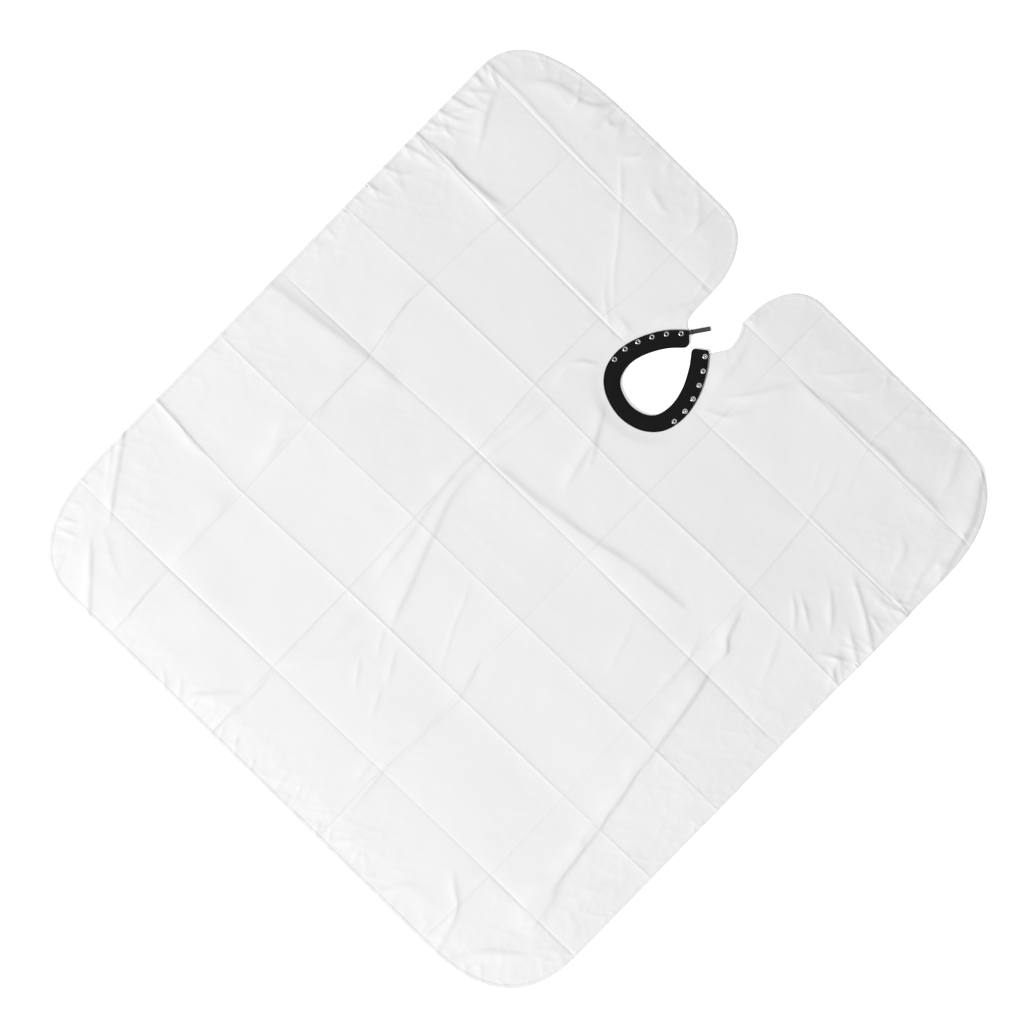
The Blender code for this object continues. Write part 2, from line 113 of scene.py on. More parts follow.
# In plan, the way across the cape that the loose folds lean: towards its back edge
AWAY_FROM_LIGHT = np.array([0.24, 0.97])

# How the cloth lies: the width of the painted shade along a pressed crease, how near the collar and
# its own edge it comes down, the least height of its middle, and how softly it meets that
PAINTED_SHADE_WIDTH = 0.0018
HELD_BY_COLLAR = 0.03
SETTLES_AT_EDGE = 0.07
LEAST_HEIGHT = 0.00045
LEAST_SOFTNESS = 0.0003
PANEL_BOW = 0.0006

# Where the visible cloth is divided: clear of the crosswise creases and of the collar
BACK_SEAM_Y = 0.272
FRONT_SEAM_Y = -0.250
SIDE_SEAM_X = 0.0

# The collar's middle line, from the end of its left arm round to the end of its right arm
COLLAR_LINE = [
    (-0.0104, 0.5071), (-0.0450, 0.4713), (-0.0698, 0.4275), (-0.0797, 0.3850),
    (-0.0705, 0.3465), (-0.0440, 0.3222), (-0.0010, 0.3112), (0.0405, 0.3206),
    (0.0670, 0.3460), (0.0753, 0.3860), (0.0672, 0.4300), (0.0465, 0.4728),
    (0.0205, 0.5080),
]
# Its half width at each of these places along Y
COLLAR_HALF_WIDTHS = [
    (0.311, 0.0165), (0.330, 0.0169), (0.360, 0.0182), (0.470, 0.0182), (0.505, 0.0176),
]
# The radii of each arm's outer and inner corner
LEFT_END_RADII = (0.004, 0.012)
RIGHT_END_RADII = (0.005, 0.008)
LOOP_LENGTH = 0.0405
# Radians that a snap may be out of true
SNAP_TILT = 0.035

# The pressed creases that run across the cape: the rise (+) or dip (-) of the line, and its route
# of (x, y) in millimetres
CROSS_CREASES = [
    (-0.55, [(-700, 614), (-450, 607), (-140, 607), (120, 609), (400, 603), (700, 603)]),
    (-0.80, [(-700, 423), (-460, 414), (-180, 411), (130, 409), (420, 414), (700, 416)]),
    (0.50, [(-700, 211), (-450, 219), (-140, 222), (100, 218), (320, 225), (700, 215)]),
    (-0.60, [(-700, 25), (-460, 32), (-180, 43), (160, 45), (480, 44), (700, 42)]),
    (0.50, [(-700, -153), (-450, -151), (-160, -143), (220, -140), (700, -137)]),
    (0.60, [(-700, -338), (-460, -350), (-140, -341), (140, -337), (430, -335), (700, -330)]),
    (-0.60, [(-700, -564), (-450, -564), (-160, -560), (320, -554), (700, -552)]),
]
# The creases that run along the cape, with (y, x) for (x, y)
LENGTH_CREASES = [
    (-0.42, [(-750, -431), (-560, -437), (-340, -440), (-140, -447), (20, -449), (150, -470),
             (360, -463), (440, -452), (600, -447), (750, -443)]),
    (0.30, [(-750, -145), (-570, -150), (-340, -152), (40, -160), (250, -172), (400, -171),
            (500, -157), (750, -157)]),
    (-0.26, [(-750, 158), (-590, 153), (-450, 162), (-340, 157), (-260, 147), (750, 150)]),
    (0.32, [(-750, 455), (-550, 462), (-340, 457), (220, 434), (400, 421), (460, 407), (560, 415),
            (620, 398), (750, 402)]),
]

# Loose folds, each a ridge: height, half width, lean of its steep side, and its route of (x, y).
# All but the lean are in millimetres. A route that runs off the cloth keeps its height to the edge.
FOLD_TABLE = [
    # The long fold down the right, with a zigzag at its top
    (2.6, 11, 0.50, [(440, 205), (457, 157), (468, 126), (486, 104), (485, 70), (486, 40)]),
    (3.6, 11.5, 0.58, [(486, 75), (494, 34), (503, -6), (520, -136), (529, -208), (543, -280),
                       (560, -414), (572, -520), (578, -600)]),
    (2.6, 22, 0.45, [(562, -440), (588, -540), (604, -600)]),
    (1.2, 9, 0.40, [(418, 114), (432, 66), (443, 30), (445, -25), (449, -77)]),
    # Two soft folds side by side, from the collar to the front
    (2.0, 14, 0.50, [(-144, 215), (-151, 140), (-158, 85), (-164, 44), (-166, -20), (-156, -92),
                     (-140, -171), (-122, -290)]),
    (2.2, 14, 0.50, [(-120, 235), (-126, 152), (-136, 90), (-141, 20), (-134, -61), (-108, -139),
                     (-70, -244), (-30, -350)]),
    # The long step that slants away from the middle crease
    (2.0, 28, 0.58, [(-150, 40), (-64, 51), (-9, 53), (42, 59), (154, 79), (260, 97), (390, 108)]),
    (2.0, 28, 0.50, [(-800, -26), (-589, 2), (-516, 12), (-430, 20), (-340, 26)]),
    # Rolls beside the creases of the back
    (2.4, 11, 0.35, [(-780, 414), (-624, 423), (-547, 424), (-478, 432), (-440, 446)]),
    (1.2, 12, 0.30, [(-640, 420), (-470, 420), (-340, 419), (-150, 418)]),
    (1.0, 8, 0.30, [(-760, 616), (-617, 622), (-447, 614), (-300, 611)]),
    (1.8, 14, 0.40, [(190, 598), (285, 605), (359, 607), (440, 610), (524, 609), (640, 604)]),
    (1.1, 8, 0.30, [(380, 418), (527, 418), (603, 417), (760, 420)]),
    # Round the collar
    (0.8, 4.5, 0.1, [(-385, 690), (-316, 623), (-272, 571), (-221, 507), (-150, 430)]),
    (0.8, 5, 0.1, [(-240, 505), (-198, 454), (-162, 423), (-110, 390)]),
    (2.0, 10, 0.4, [(-50, 318), (-30, 273), (-11, 234), (2, 186), (12, 140), (32, 98)]),
    (1.3, 7, 0.3, [(-22, 262), (6, 214), (36, 160)]),
    (1.7, 9, 0.3, [(-90, 352), (-137, 319), (-147, 285), (-140, 235)]),
    (1.6, 7, 0.3, [(-82, 455), (-77, 508), (-65, 546), (-45, 590)]),
    (1.4, 6, 0.2, [(-49, 490), (-48, 530), (-50, 562)]),
    (1.2, 9, 0.3, [(-153, 442), (-129, 436), (-90, 430)]),
    (0.8, 7, 0.2, [(-240, 760), (-185, 712), (-157, 674), (-155, 620)]),
    (0.9, 8, 0.0, [(-60, 560), (-70, 610), (-82, 660)]),
    (1.7, 9, 0.3, [(215, 615), (191, 564), (157, 512), (110, 455)]),
    (1.5, 8, 0.3, [(185, 510), (164, 457), (137, 436), (95, 420)]),
    (1.4, 9, 0.3, [(72, 610), (88, 544), (94, 491), (87, 450)]),
    (1.4, 10, -0.2, [(52, 590), (55, 626), (64, 670)]),
    # The back left corner
    (2.2, 12, 0.4, [(-620, 645), (-568, 683), (-530, 692), (-492, 701), (-460, 727), (-435, 765)]),
    (2.0, 8, 0.3, [(-370, 670), (-341, 702), (-336, 726), (-338, 770)]),
    (1.6, 7, 0.3, [(-450, 715), (-425, 705), (-410, 730)]),
    (1.2, 10, 0.2, [(-300, 680), (-250, 662), (-205, 655)]),
    (1.9, 10, 0.4, [(-655, 620), (-630, 552), (-604, 511), (-575, 465)]),
    (1.5, 8, 0.3, [(-760, 475), (-666, 493), (-625, 527)]),
    (1.5, 7, 0.3, [(-760, 510), (-664, 529), (-632, 550)]),
    (1.4, 7, 0.3, [(-760, 580), (-670, 584), (-645, 590)]),
    (1.7, 8, 0.3, [(-760, 366), (-663, 392), (-580, 408)]),
    (1.3, 6, 0.3, [(-760, 312), (-671, 333), (-640, 360)]),
    (1.2, 6, 0.3, [(-760, 262), (-669, 282), (-632, 306)]),
    (1.1, 7, 0.3, [(-760, 448), (-690, 455), (-640, 470)]),
    # The back right corner and the right hem
    (3.0, 14, 0.4, [(560, 780), (619, 703), (649, 657), (668, 609), (684, 551), (700, 480)]),
    (1.3, 10, 0.3, [(510, 770), (561, 685), (580, 620)]),
    (0.9, 8, 0.2, [(210, 630), (259, 669), (315, 740)]),
    (1.3, 8, 0.3, [(270, 640), (314, 671), (336, 725), (362, 780)]),
    (0.9, 8, 0.2, [(446, 770), (425, 693), (430, 632)]),
    (0.6, 3.5, 0.1, [(345, 540), (365, 495), (388, 445)]),
    (0.6, 3.5, 0.1, [(380, 552), (400, 490), (414, 448)]),
    (0.5, 4, 0.1, [(418, 570), (432, 502), (417, 462)]),
    (1.9, 7, 0.3, [(545, 408), (608, 371), (646, 351), (740, 285)]),
    (1.7, 7, 0.3, [(530, 356), (581, 316), (620, 272)]),
    (1.8, 7, 0.3, [(610, 326), (659, 298), (740, 240)]),
    (1.4, 6, 0.3, [(500, 302), (554, 271), (595, 240)]),
    (1.3, 6, 0.3, [(488, 290), (532, 259), (565, 220)]),
    (1.2, 8, 0.2, [(590, 404), (637, 399), (760, 425)]),
    (1.4, 9, 0.3, [(655, 583), (652, 528), (671, 461), (690, 400)]),
    (1.1, 7, 0.3, [(681, 566), (676, 523), (678, 470)]),
    (1.3, 7, 0.3, [(625, 300), (659, 250), (700, 180)]),
    (1.0, 8, 0.2, [(530, 225), (562, 156), (592, 90)]),
    (1.0, 8, 0.2, [(560, 530), (604, 500), (622, 430)]),
    (3.0, 8, 0.0, [(697, 200), (700, 290), (700, 370), (697, 450)]),
    # The left side and the front left corner
    (1.7, 13, 0.4, [(-455, 235), (-476, 173), (-463, 110), (-449, 35)]),
    (1.6, 13, 0.4, [(-445, 10), (-451, -86), (-446, -139), (-461, -191), (-453, -300)]),
    (1.0, 8, 0.3, [(-450, -140), (-476, -186), (-467, -245)]),
    (1.9, 8, 0.4, [(-760, -360), (-687, -450), (-633, -529), (-580, -595)]),
    (0.9, 6, 0.3, [(-720, -440), (-659, -517), (-625, -565)]),
    (1.7, 7, 0.4, [(-612, -612), (-567, -664), (-525, -707), (-460, -780)]),
    (0.8, 7, 0.3, [(-590, -595), (-548, -626), (-485, -655)]),
    (1.1, 8, 0.4, [(-760, -338), (-650, -337), (-600, -348), (-520, -350)]),
    (1.7, 18, 0.3, [(-452, -350), (-450, -421), (-446, -493), (-438, -575)]),
    (1.3, 6, 0.4, [(-442, -556), (-441, -617), (-434, -685), (-427, -780)]),
    # Towards the front hem
    (1.3, 6, 0.4, [(-145, -548), (-141, -626), (-146, -678), (-147, -780)]),
    (1.6, 10, 0.3, [(-150, -630), (-192, -680), (-219, -711), (-240, -770)]),
    (0.9, 6, 0.2, [(-315, -710), (-288, -732), (-260, -760)]),
    (1.4, 16, 0.4, [(-104, -335), (-105, -430), (-111, -483), (-150, -570)]),
    (1.1, 12, 0.4, [(-50, -375), (-72, -454), (-102, -545)]),
    (1.3, 12, 0.5, [(135, -235), (155, -309), (164, -347), (163, -395), (162, -462), (157, -553),
                    (170, -700)]),
    (1.0, 9, 0.4, [(156, -380), (148, -466), (128, -552), (138, -635)]),
    (0.9, 5, 0.2, [(-45, -340), (-30, -370), (-10, -400)]),
    (1.2, 6, 0.2, [(-2, -348), (18, -385), (44, -434)]),
    (0.9, 5, 0.2, [(-46, -410), (-20, -445), (3, -482)]),
    (0.9, 5, 0.2, [(28, -426), (48, -462), (68, -500)]),
    (0.7, 5, 0.3, [(0, -140), (34, -190), (62, -257), (108, -345)]),
    (0.7, 6, 0.3, [(290, 45), (318, -7), (337, -64), (353, -115)]),
    (1.2, 9, 0.3, [(380, -585), (430, -625), (467, -660), (500, -780)]),
    (1.8, 10, 0.3, [(500, -780), (560, -680), (640, -605)]),
    (0.9, 9, 0.2, [(190, -780), (215, -690), (245, -620)]),
    (1.1, 9, 0.2, [(300, -780), (345, -700), (390, -660)]),
    (0.9, 9, 0.2, [(600, -500), (625, -440), (648, -380)]),
]
FOLDS = [
    (height, width, lean, [(x / 1000, y / 1000) for x, y in route])
    for height, width, lean, route in FOLD_TABLE
]

CLOTH_PIECES = {
    "cloth_back_left": "cloth_left_back_flap",
    "cloth_back_right": "cloth_right_back_flap",
    "cloth_middle_left": "cloth_middle",
    "cloth_middle_right": "cloth_middle",
    "cloth_front_left": "cloth_front_half",
    "cloth_front_right": "cloth_front_half",
}


# ---------------------------------------------------------------- settings

def length_setting(name, description, default):
    return bpy.props.FloatProperty(
        name=name, description=description, subtype="DISTANCE", unit="LENGTH", default=default,
    )


def colour_setting(name, description, default):
    return bpy.props.FloatVectorProperty(
        name=name, description=description, subtype="COLOR", size=3, min=0, max=1, default=default,
    )


class CapeClothSettings(bpy.types.PropertyGroup):
    colour: colour_setting("Cloth colour", "Colour of the cape's cloth", (0.80, 0.80, 0.805))
    thickness: length_setting("Cloth thickness", "Thickness of the cloth", 0.00026)
    base_height: length_setting(
        "Lie", "How high the cloth's middle lies above the surface on average", 0.0021,
    )
    coarse_cell: length_setting("Open cell", "Mesh spacing away from creases", 0.0034)
    fine_cell: length_setting("Crease cell", "Mesh spacing beside creases", 0.0015)
    crease_width: length_setting("Crease width", "Half width of a pressed crease", 0.0024)
    hem_width: length_setting("Hem width", "Width of the narrow turned hem", 0.008)
    stitch_pitch: length_setting("Hem stitch", "Distance from one hem stitch to the next", 0.0030)


class CapeCollarSettings(bpy.types.PropertyGroup):
    colour: colour_setting(
        "Collar colour", "Colour of the collar's jersey", (0.0050, 0.0050, 0.0052),
    )
    low: length_setting("Underside", "Height of the collar's underside", 0.0011)
    high: length_setting("Top", "Height of the collar's top beside its middle", 0.0050)
    quilting_inset: length_setting(
        "Stitch line", "Distance of the stitch line from the collar's edge", 0.0030,
    )
    stitch_pitch: length_setting(
        "Collar stitch", "Distance from one collar stitch to the next", 0.0026,
    )


class CapeSnapSettings(bpy.types.PropertyGroup):
    radius: length_setting("Snap radius", "Outer radius of a snap's flange", 0.00545)
    metal: colour_setting("Snap metal", "Colour of the plated metal", (0.66, 0.66, 0.67))


class CapeStageSettings(bpy.types.PropertyGroup):
    focal_length: bpy.props.FloatProperty(
        name="Focal length", description="The camera's focal length in millimetres", default=85.0,
    )
    roll: bpy.props.FloatProperty(
        name="Camera roll", description="How far the camera is turned about its own view",
        subtype="ANGLE", unit="ROTATION", default=math.radians(44.33),
    )
    view_width: length_setting("View width", "Width of the view at the cape", 2.079)
    centre: bpy.props.FloatVectorProperty(
        name="View centre", description="Point that the camera looks at", subtype="TRANSLATION",
        unit="LENGTH", size=3, default=(-0.0226, 0.0046, 0.0),
    )


# ---------------------------------------------------------------- lines in plan

def curve_through(points, steps=24):
    """A Catmull-Rom curve through the points, as an array of (x, y)."""
    knots = np.array(points, float)
    knots = np.vstack([2 * knots[0] - knots[1], knots, 2 * knots[-1] - knots[-2]])
    share = np.arange(steps)[:, None] / steps
    runs = []
    for before, start, end, after in zip(knots, knots[1:], knots[2:], knots[3:]):
        runs.append(0.5 * (
            2 * start + (end - before) * share
            + (2 * before - 5 * start + 4 * end - after) * share ** 2
            + (3 * start - before - 3 * end + after) * share ** 3
        ))
    return np.vstack(runs + [knots[-2:-1]])


def distances_along(line):
    steps = np.hypot(*np.diff(line, axis=0).T)
    return np.concatenate([[0.0], np.cumsum(steps)])


def resampled(line, spacing):
    along = distances_along(line)
    count = max(int(round(along[-1] / spacing)), 2)
    places = np.linspace(0, along[-1], count + 1)
    return np.column_stack([np.interp(places, along, line[:, axis]) for axis in range(2)])


def left_normals(line):
    along = np.gradient(line, axis=0)
    along /= np.hypot(along[:, 0], along[:, 1])[:, None]
    return np.column_stack([-along[:, 1], along[:, 0]])


def round_corner(corner, shape, inward, start_along_x, steps=60):
    """Points round a superellipse corner; inward is the way to the cloth along X and Y."""
    reach = np.array(shape[:2]) * inward
    turn = np.linspace(0, math.pi / 2, steps)
    round_part = np.column_stack([np.cos(turn), np.sin(turn)]) ** (2 / shape[2])
    points = np.array(corner) + reach - reach * round_part
    return points if start_along_x else points[::-1]


def cloth_edge():
    """The cloth's free edge, anticlockwise from the collar's left arm to its right arm."""
    x = WIDTH / 2
    y = LENGTH / 2
    half = OPENING_HALF_WIDTH
    return np.vstack([
        curve_through(OPENING_LEFT_SIDE, 8),
        round_corner((-half, y), OPENING_LEFT_CORNER, (-1, -1), True),
        round_corner((-x, y), BACK_LEFT_CORNER, (1, -1), False),
        round_corner((-x, -y), FRONT_LEFT_CORNER, (1, 1), True),
        round_corner((x, -y), FRONT_RIGHT_CORNER, (-1, 1), False),
        round_corner((x, y), BACK_RIGHT_CORNER, (-1, -1), True),
        round_corner((half, y), OPENING_RIGHT_CORNER, (1, -1), False),
        curve_through(OPENING_RIGHT_SIDE, 8),
    ])


def collar_half_width(y):
    places, widths = zip(*COLLAR_HALF_WIDTHS)
    return np.interp(y, places, widths)


def collar_middle(spacing=0.0015):
    return resampled(curve_through(COLLAR_LINE), spacing)


def collar_side_line(inset, outer=True, spacing=0.0015):
    """The line this far inside the collar's outer or inner edge, from the left arm to the right."""
    middle = collar_middle(spacing)
    width = collar_half_width(middle[:, 1]) - inset
    side = -1 if outer else 1
    return middle + left_normals(middle) * (side * width)[:, None]


def cloth_polygon():
    """The cut cloth's whole outline: its free edge, and its neck edge under the collar."""
    free = cloth_edge()
    neck = collar_side_line(CLOTH_UNDER_COLLAR)[::-1]
    return resampled(np.vstack([free, neck, free[:1]]), 0.003)[:-1]


def inside(x, y, polygon):
    found = np.zeros(x.shape, bool)
    last_x, last_y = polygon[-1]
    for this_x, this_y in polygon:
        if this_y != last_y:
            crosses = (this_y > y) != (last_y > y)
            found ^= crosses & (x < (last_x - this_x) * (y - this_y) / (last_y - this_y) + this_x)
        last_x, last_y = this_x, this_y
    return found


def soft_step(value):
    value = np.clip(value, 0, 1)
    return value * value * (3 - 2 * value)


def distance_to_line(x, y, line):
    """For each point: its distance to a line, its side (+1 left), and how far along it is nearest."""
    best = np.full(x.shape, np.inf)
    side = np.ones(x.shape)
    place = np.zeros(x.shape)
    along = distances_along(line)
    for index in range(len(line) - 1):
        start = line[index]
        run = line[index + 1] - start
        length = along[index + 1] - along[index]
        share = np.clip(((x - start[0]) * run[0] + (y - start[1]) * run[1]) / length ** 2, 0, 1)
        away_x = x - start[0] - share * run[0]
        away_y = y - start[1] - share * run[1]
        distance = np.hypot(away_x, away_y)
        nearer = distance < best
        best = np.where(nearer, distance, best)
        side = np.where(nearer, np.sign(run[0] * away_y - run[1] * away_x + 1e-12), side)
        place = np.where(nearer, along[index] + share * length, place)
    return best, side, place


# ---------------------------------------------------------------- how the cloth lies

def soft_noise(x, y, scale, seed):
    """Smooth noise between -1 and 1, with hills about this scale apart."""
    lattice = np.random.default_rng(seed).uniform(-1, 1, (257, 257))
    u = x / scale + 128
    v = y / scale + 128
    column = np.floor(u).astype(int)
    row = np.floor(v).astype(int)
    across = soft_step(u - column)
    up = soft_step(v - row)
    column %= 256
    row %= 256
    low = lattice[row, column] * (1 - across) + lattice[row, column + 1] * across
    high = lattice[row + 1, column] * (1 - across) + lattice[row + 1, column + 1] * across
    return low * (1 - up) + high * up


def crease_routes(creases, extent):
    """Each crease as (mean place, sample places, offsets from the mean, rise)."""
    routes = []
    for rise, points in creases:
        places, offsets = (np.array(points) / 1000).T
        routes.append((offsets.mean(), places, offsets - offsets.mean(), rise))
    return sorted(routes, key=lambda route: route[0]), extent


def wander(across, along, routes):
    """How far the pressed lines near a point have strayed from straight."""
    creases, extent = routes
    means = [-extent] + [crease[0] for crease in creases] + [extent]
    strays = [np.zeros(across.shape)]
    strays += [np.interp(across, crease[1], crease[2]) for crease in creases]
    strays.append(np.zeros(across.shape))
    total = np.zeros(across.shape)
    for index in range(len(means) - 1):
        within = (along >= means[index]) & (along < means[index + 1])
        share = soft_step((along - means[index]) / (means[index + 1] - means[index]))
        total = np.where(within, strays[index] * (1 - share) + strays[index + 1] * share, total)
    return total


CROSS_ROUTES = crease_routes(CROSS_CREASES, LENGTH / 2 + 0.01)
LENGTH_ROUTES = crease_routes(LENGTH_CREASES, WIDTH / 2 + 0.01)


def pressed_lines(x, y, width):
    """Height of the pressed creases at each point, and how strongly painted shade darkens them."""
    height = np.zeros(x.shape)
    painted_crease_shade = np.zeros(x.shape)

    def add(away, strength, rise, sharp, soft, soft_width):
        nonlocal painted_crease_shade
        profile = sharp * np.exp(-away / width) + soft * np.exp(-(away / soft_width) ** 2)
        height[...] += rise * 1e-3 * strength * profile
        # The painted shade: how much the cloth's colour is darkened along the crease line
        painted_crease_shade = np.maximum(painted_crease_shade, strength * np.exp(-(away / PAINTED_SHADE_WIDTH) ** 2))

    straight_y = y - wander(x, y, CROSS_ROUTES)
    for number, (mean, _, _, rise) in enumerate(CROSS_ROUTES[0]):
        strength = 0.9 + 0.5 * soft_noise(x, y * 0 + 0.37 * number, 0.13, 11)
        add(np.abs(straight_y - mean), strength, rise, 1.25, 0.5, 0.017)
    straight_x = x - wander(y, x, LENGTH_ROUTES)
    for number, (mean, _, _, rise) in enumerate(LENGTH_ROUTES[0]):
        strength = np.clip(0.75 + 0.70 * soft_noise(x * 0 + 0.37 * number, y, 0.13, 23), 0.1, 1.3)
        add(np.abs(straight_x - mean), strength, rise, 1.6, 0.7, 0.015)
    return height, painted_crease_shade


def fold_height(x, y, height, width, lean, points):
    """One loose fold's height. The side that faces the back edge is steeper when lean is positive."""
    line = resampled(curve_through(points, 12), 0.008)
    seed = int(abs(points[0][0] * 7919 + points[0][1] * 104729) * 1000) % 9973
    along = distances_along(line)
    line = line + left_normals(line) * (0.0013 * soft_noise(along, 0 * along, 0.034, seed))[:, None]
    reach = 0.001 * width * 4.5
    low = line.min(0) - reach
    high = line.max(0) + reach
    near = (x > low[0]) & (x < high[0]) & (y > low[1]) & (y < high[1])
    result = np.zeros(x.shape)
    if not near.any():
        return result
    distance, side, place = distance_to_line(x[near], y[near], line)
    total = distances_along(line)[-1]
    fade = min(0.07, total * 0.45)
    taper = soft_step(place / fade) * soft_step((total - place) / fade)
    away = np.sign(left_normals(line).mean(0) @ AWAY_FROM_LIGHT)
    uneven = 1 + 0.20 * soft_noise(place, 0 * place, 0.042, seed + 1)
    swell = 1 + 0.25 * soft_noise(place, 0 * place, 0.05, seed + 2)
    wide = 0.001 * width * (0.6 + 0.4 * taper) * swell
    ratio = distance / (wide * np.where(side * away > 0, 1 - lean, 1 + max(lean, 0) * 1.2 + lean))
    result[near] = 0.001 * height * taper * uneven / (1 + ratio ** 2) ** 1.6
    return result


def crumple(x, y):
    """Fine crossing wrinkles, as a network of low ridges."""
    total = np.zeros(x.shape)
    for angle, scale, seed, share in (
        (0.5, 0.060, 41, 0.42), (1.9, 0.052, 43, 0.34), (2.7, 0.030, 47, 0.18), (1.2, 0.024, 53, 0.14),
    ):
        along = x * math.cos(angle) + y * math.sin(angle)
        across = -x * math.sin(angle) + y * math.cos(angle)
        bent = across + 0.006 * soft_noise(x, y, 0.05, seed + 1)
        ridge = 1 - np.abs(soft_noise(along, bent * 2.6, scale, seed))
        total += share * ridge ** 3
    return total


def hem_puckers():
    """Short random ridges that run in from the hem, as folds."""
    chance = np.random.default_rng(7)
    edge = resampled(cloth_edge(), 0.004)
    normals = left_normals(edge)
    folds = []
    place = 10
    while place < len(edge) - 10:
        start = edge[place] - normals[place] * 0.004
        x, y = start
        # The cape is most gathered at its back left, at its right side and round its corners
        gathered = max(
            math.exp(-((x + 0.68) / 0.1) ** 2 - ((y - 0.45) / 0.22) ** 2),
            math.exp(-((x - 0.68) / 0.1) ** 2 - ((y - 0.33) / 0.16) ** 2),
            0.8 * math.exp(-((x + 0.45) / 0.22) ** 2 - ((y - 0.72) / 0.08) ** 2),
            0.7 * math.exp(-((x - 0.15) / 0.35) ** 2 - ((y + 0.74) / 0.05) ** 2),
            0.6 * math.exp(-((x + 0.6) / 0.14) ** 2 - ((y + 0.66) / 0.12) ** 2),
        )
        skew = chance.normal(0, 0.5)
        way = normals[place] + skew * np.array([normals[place][1], -normals[place][0]])
        length = chance.uniform(0.018, 0.050) * (1 + 1.2 * gathered)
        bend = chance.normal(0, 0.12) * np.array([way[1], -way[0]])
        points = [start, start + way * length * 0.5 + bend * length * 0.3, start + way * length]
        height = chance.uniform(0.2, 0.6) * (1 + 1.6 * gathered)
        width = chance.uniform(2.4, 4.6) * (1 + 0.5 * gathered)
        folds.append((height, width, chance.uniform(0, 0.45), points))
        place += int(chance.uniform(3, 22) / (1 + 1.5 * gathered))
    return folds


class Drape:
    """The height of the cloth's middle surface above the floor."""

    def __init__(self, settings):
        self.settings = settings
        self.folds = FOLDS + hem_puckers()
        self.collar_edge = collar_side_line(0, spacing=0.004)
        self.edge = resampled(cloth_edge(), 0.02)

    def __call__(self, x, y):
        height, painted_crease_shade = pressed_lines(x, y, self.settings.crease_width)
        loose = np.zeros(x.shape)
        for fold in self.folds:
            loose += fold_height(x, y, *fold)
        loose += 0.00055 * soft_noise(x, y, 0.115, 3) + 0.00018 * soft_noise(x, y, 0.046, 5)
        # Crumpled near the sides and the back left, smooth in the middle of the panels
        side = np.maximum(np.abs(x) - 0.50, np.abs(y) - 0.60) / 0.18
        patches = 0.5 + 0.5 * soft_noise(x, y, 0.19, 61)
        crumpled = np.clip(0.16 + 0.35 * patches + np.clip(side, 0, 1) * (0.3 + 0.9 * patches), 0, 1.2)
        loose += 0.00075 * crumpled * crumple(x, y)
        # Each pressed panel bows a little, up and down in turn
        rows = np.array([crease[0] for crease in CROSS_ROUTES[0]])
        panel = np.interp(y, rows, np.arange(len(rows)))
        loose += PANEL_BOW * np.cos(math.pi * panel)
        height = height + loose
        # A crest on the front half stays under what it lands on when both it and a flap are folded
        from_bend = np.abs(2 * FRONT_CREASE_Y - y - FLAP_CREASE_Y)
        bulge = BEND_BULGE * (1 - soft_step((from_bend - 0.02) / 0.02))
        room = FOLD_ROOM - self.settings.base_height - bulge
        free = 0.6 * room
        over = np.maximum(height - free, 0) / (room - free)
        eased = np.minimum(height, free) + (room - free) * np.tanh(over)
        height += soft_step((FRONT_CREASE_Y + 0.04 - y) / 0.04) * (eased - height)
        # The cloth is held flat where it is sewn to the collar
        near = (np.abs(x) < 0.16) & (y > 0.24) & (y < 0.58)
        held = np.ones(x.shape)
        if near.any():
            distance = distance_to_line(x[near], y[near], self.collar_edge)[0]
            held[near] = soft_step(distance / HELD_BY_COLLAR)
        # and its edges come down to the surface
        from_edge = distance_to_line(x, y, self.edge)[0]
        lie = self.settings.base_height
        base = lie * (0.35 + 0.65 * soft_step(from_edge / SETTLES_AT_EDGE))
        height = np.minimum(base, lie * (0.38 + 0.62 * held)) + height * held
        above = (height - LEAST_HEIGHT) / LEAST_SOFTNESS
        return LEAST_HEIGHT + np.log1p(np.exp(above)) * LEAST_SOFTNESS, painted_crease_shade


# ---------------------------------------------------------------- meshes

def add_object(name, mesh):
    item = bpy.data.objects.new(name, mesh)
    bpy.context.scene.collection.objects.link(item)
    return item


def new_mesh(name, corners, faces, material, smooth=True):
    mesh = bpy.data.meshes.new(name)
    mesh.from_pydata([tuple(corner) for corner in corners], [], faces)
    mesh.update()
    mesh.materials.append(material)
    if smooth:
        mesh.shade_smooth()
    return mesh


def turn_outwards(mesh):
    shape = bmesh.new()
    shape.from_mesh(mesh)
    bmesh.ops.recalc_face_normals(shape, faces=shape.faces[:])
    shape.to_mesh(mesh)
    shape.free()


def give_uv(mesh, values):
    """A UV map from one (u, v) for each vertex, in metres."""
    layer = mesh.uv_layers.new(name="UVMap")
    corner_vertices = np.zeros(len(mesh.loops), np.int32)
    mesh.loops.foreach_get("vertex_index", corner_vertices)
    layer.data.foreach_set("uv", np.asarray(values, np.float32)[corner_vertices].ravel())


def sleeve(name, rings, material, uv=None):
    """A tube through rings of points, an array (ring, point, xyz), with its ends closed."""
    ring_count, point_count = rings.shape[:2]
    faces = []
    for ring in range(ring_count - 1):
        for point in range(point_count):
            after = (point + 1) % point_count
            first = ring * point_count
            second = first + point_count
            faces.append((first + point, first + after, second + after, second + point))
    faces.append(tuple(range(point_count - 1, -1, -1)))
    last = (ring_count - 1) * point_count
    faces.append(tuple(range(last, last + point_count)))
    mesh = new_mesh(name, rings.reshape(-1, 3), faces, material)
    turn_outwards(mesh)
    if uv is not None:
        give_uv(mesh, uv.reshape(-1, 2))
    return mesh


def swept_rings(line, section, height):
    """Rings of a section of (distance to the left, rise) carried along a line over a surface."""
    normals = left_normals(line)
    across, rise = np.array(section).T
    plan = line[:, None, :] + normals[:, None, :] * across[None, :, None]
    z = height(plan[..., 0].ravel(), plan[..., 1].ravel()).reshape(plan.shape[:2]) + rise[None, :]
    return np.concatenate([plan, z[..., None]], axis=2)


def section_uv(line, section):
    along = distances_along(line)
    round_section = distances_along(np.array(section))
    return np.stack(np.meshgrid(along, round_section, indexing="ij"), axis=2)


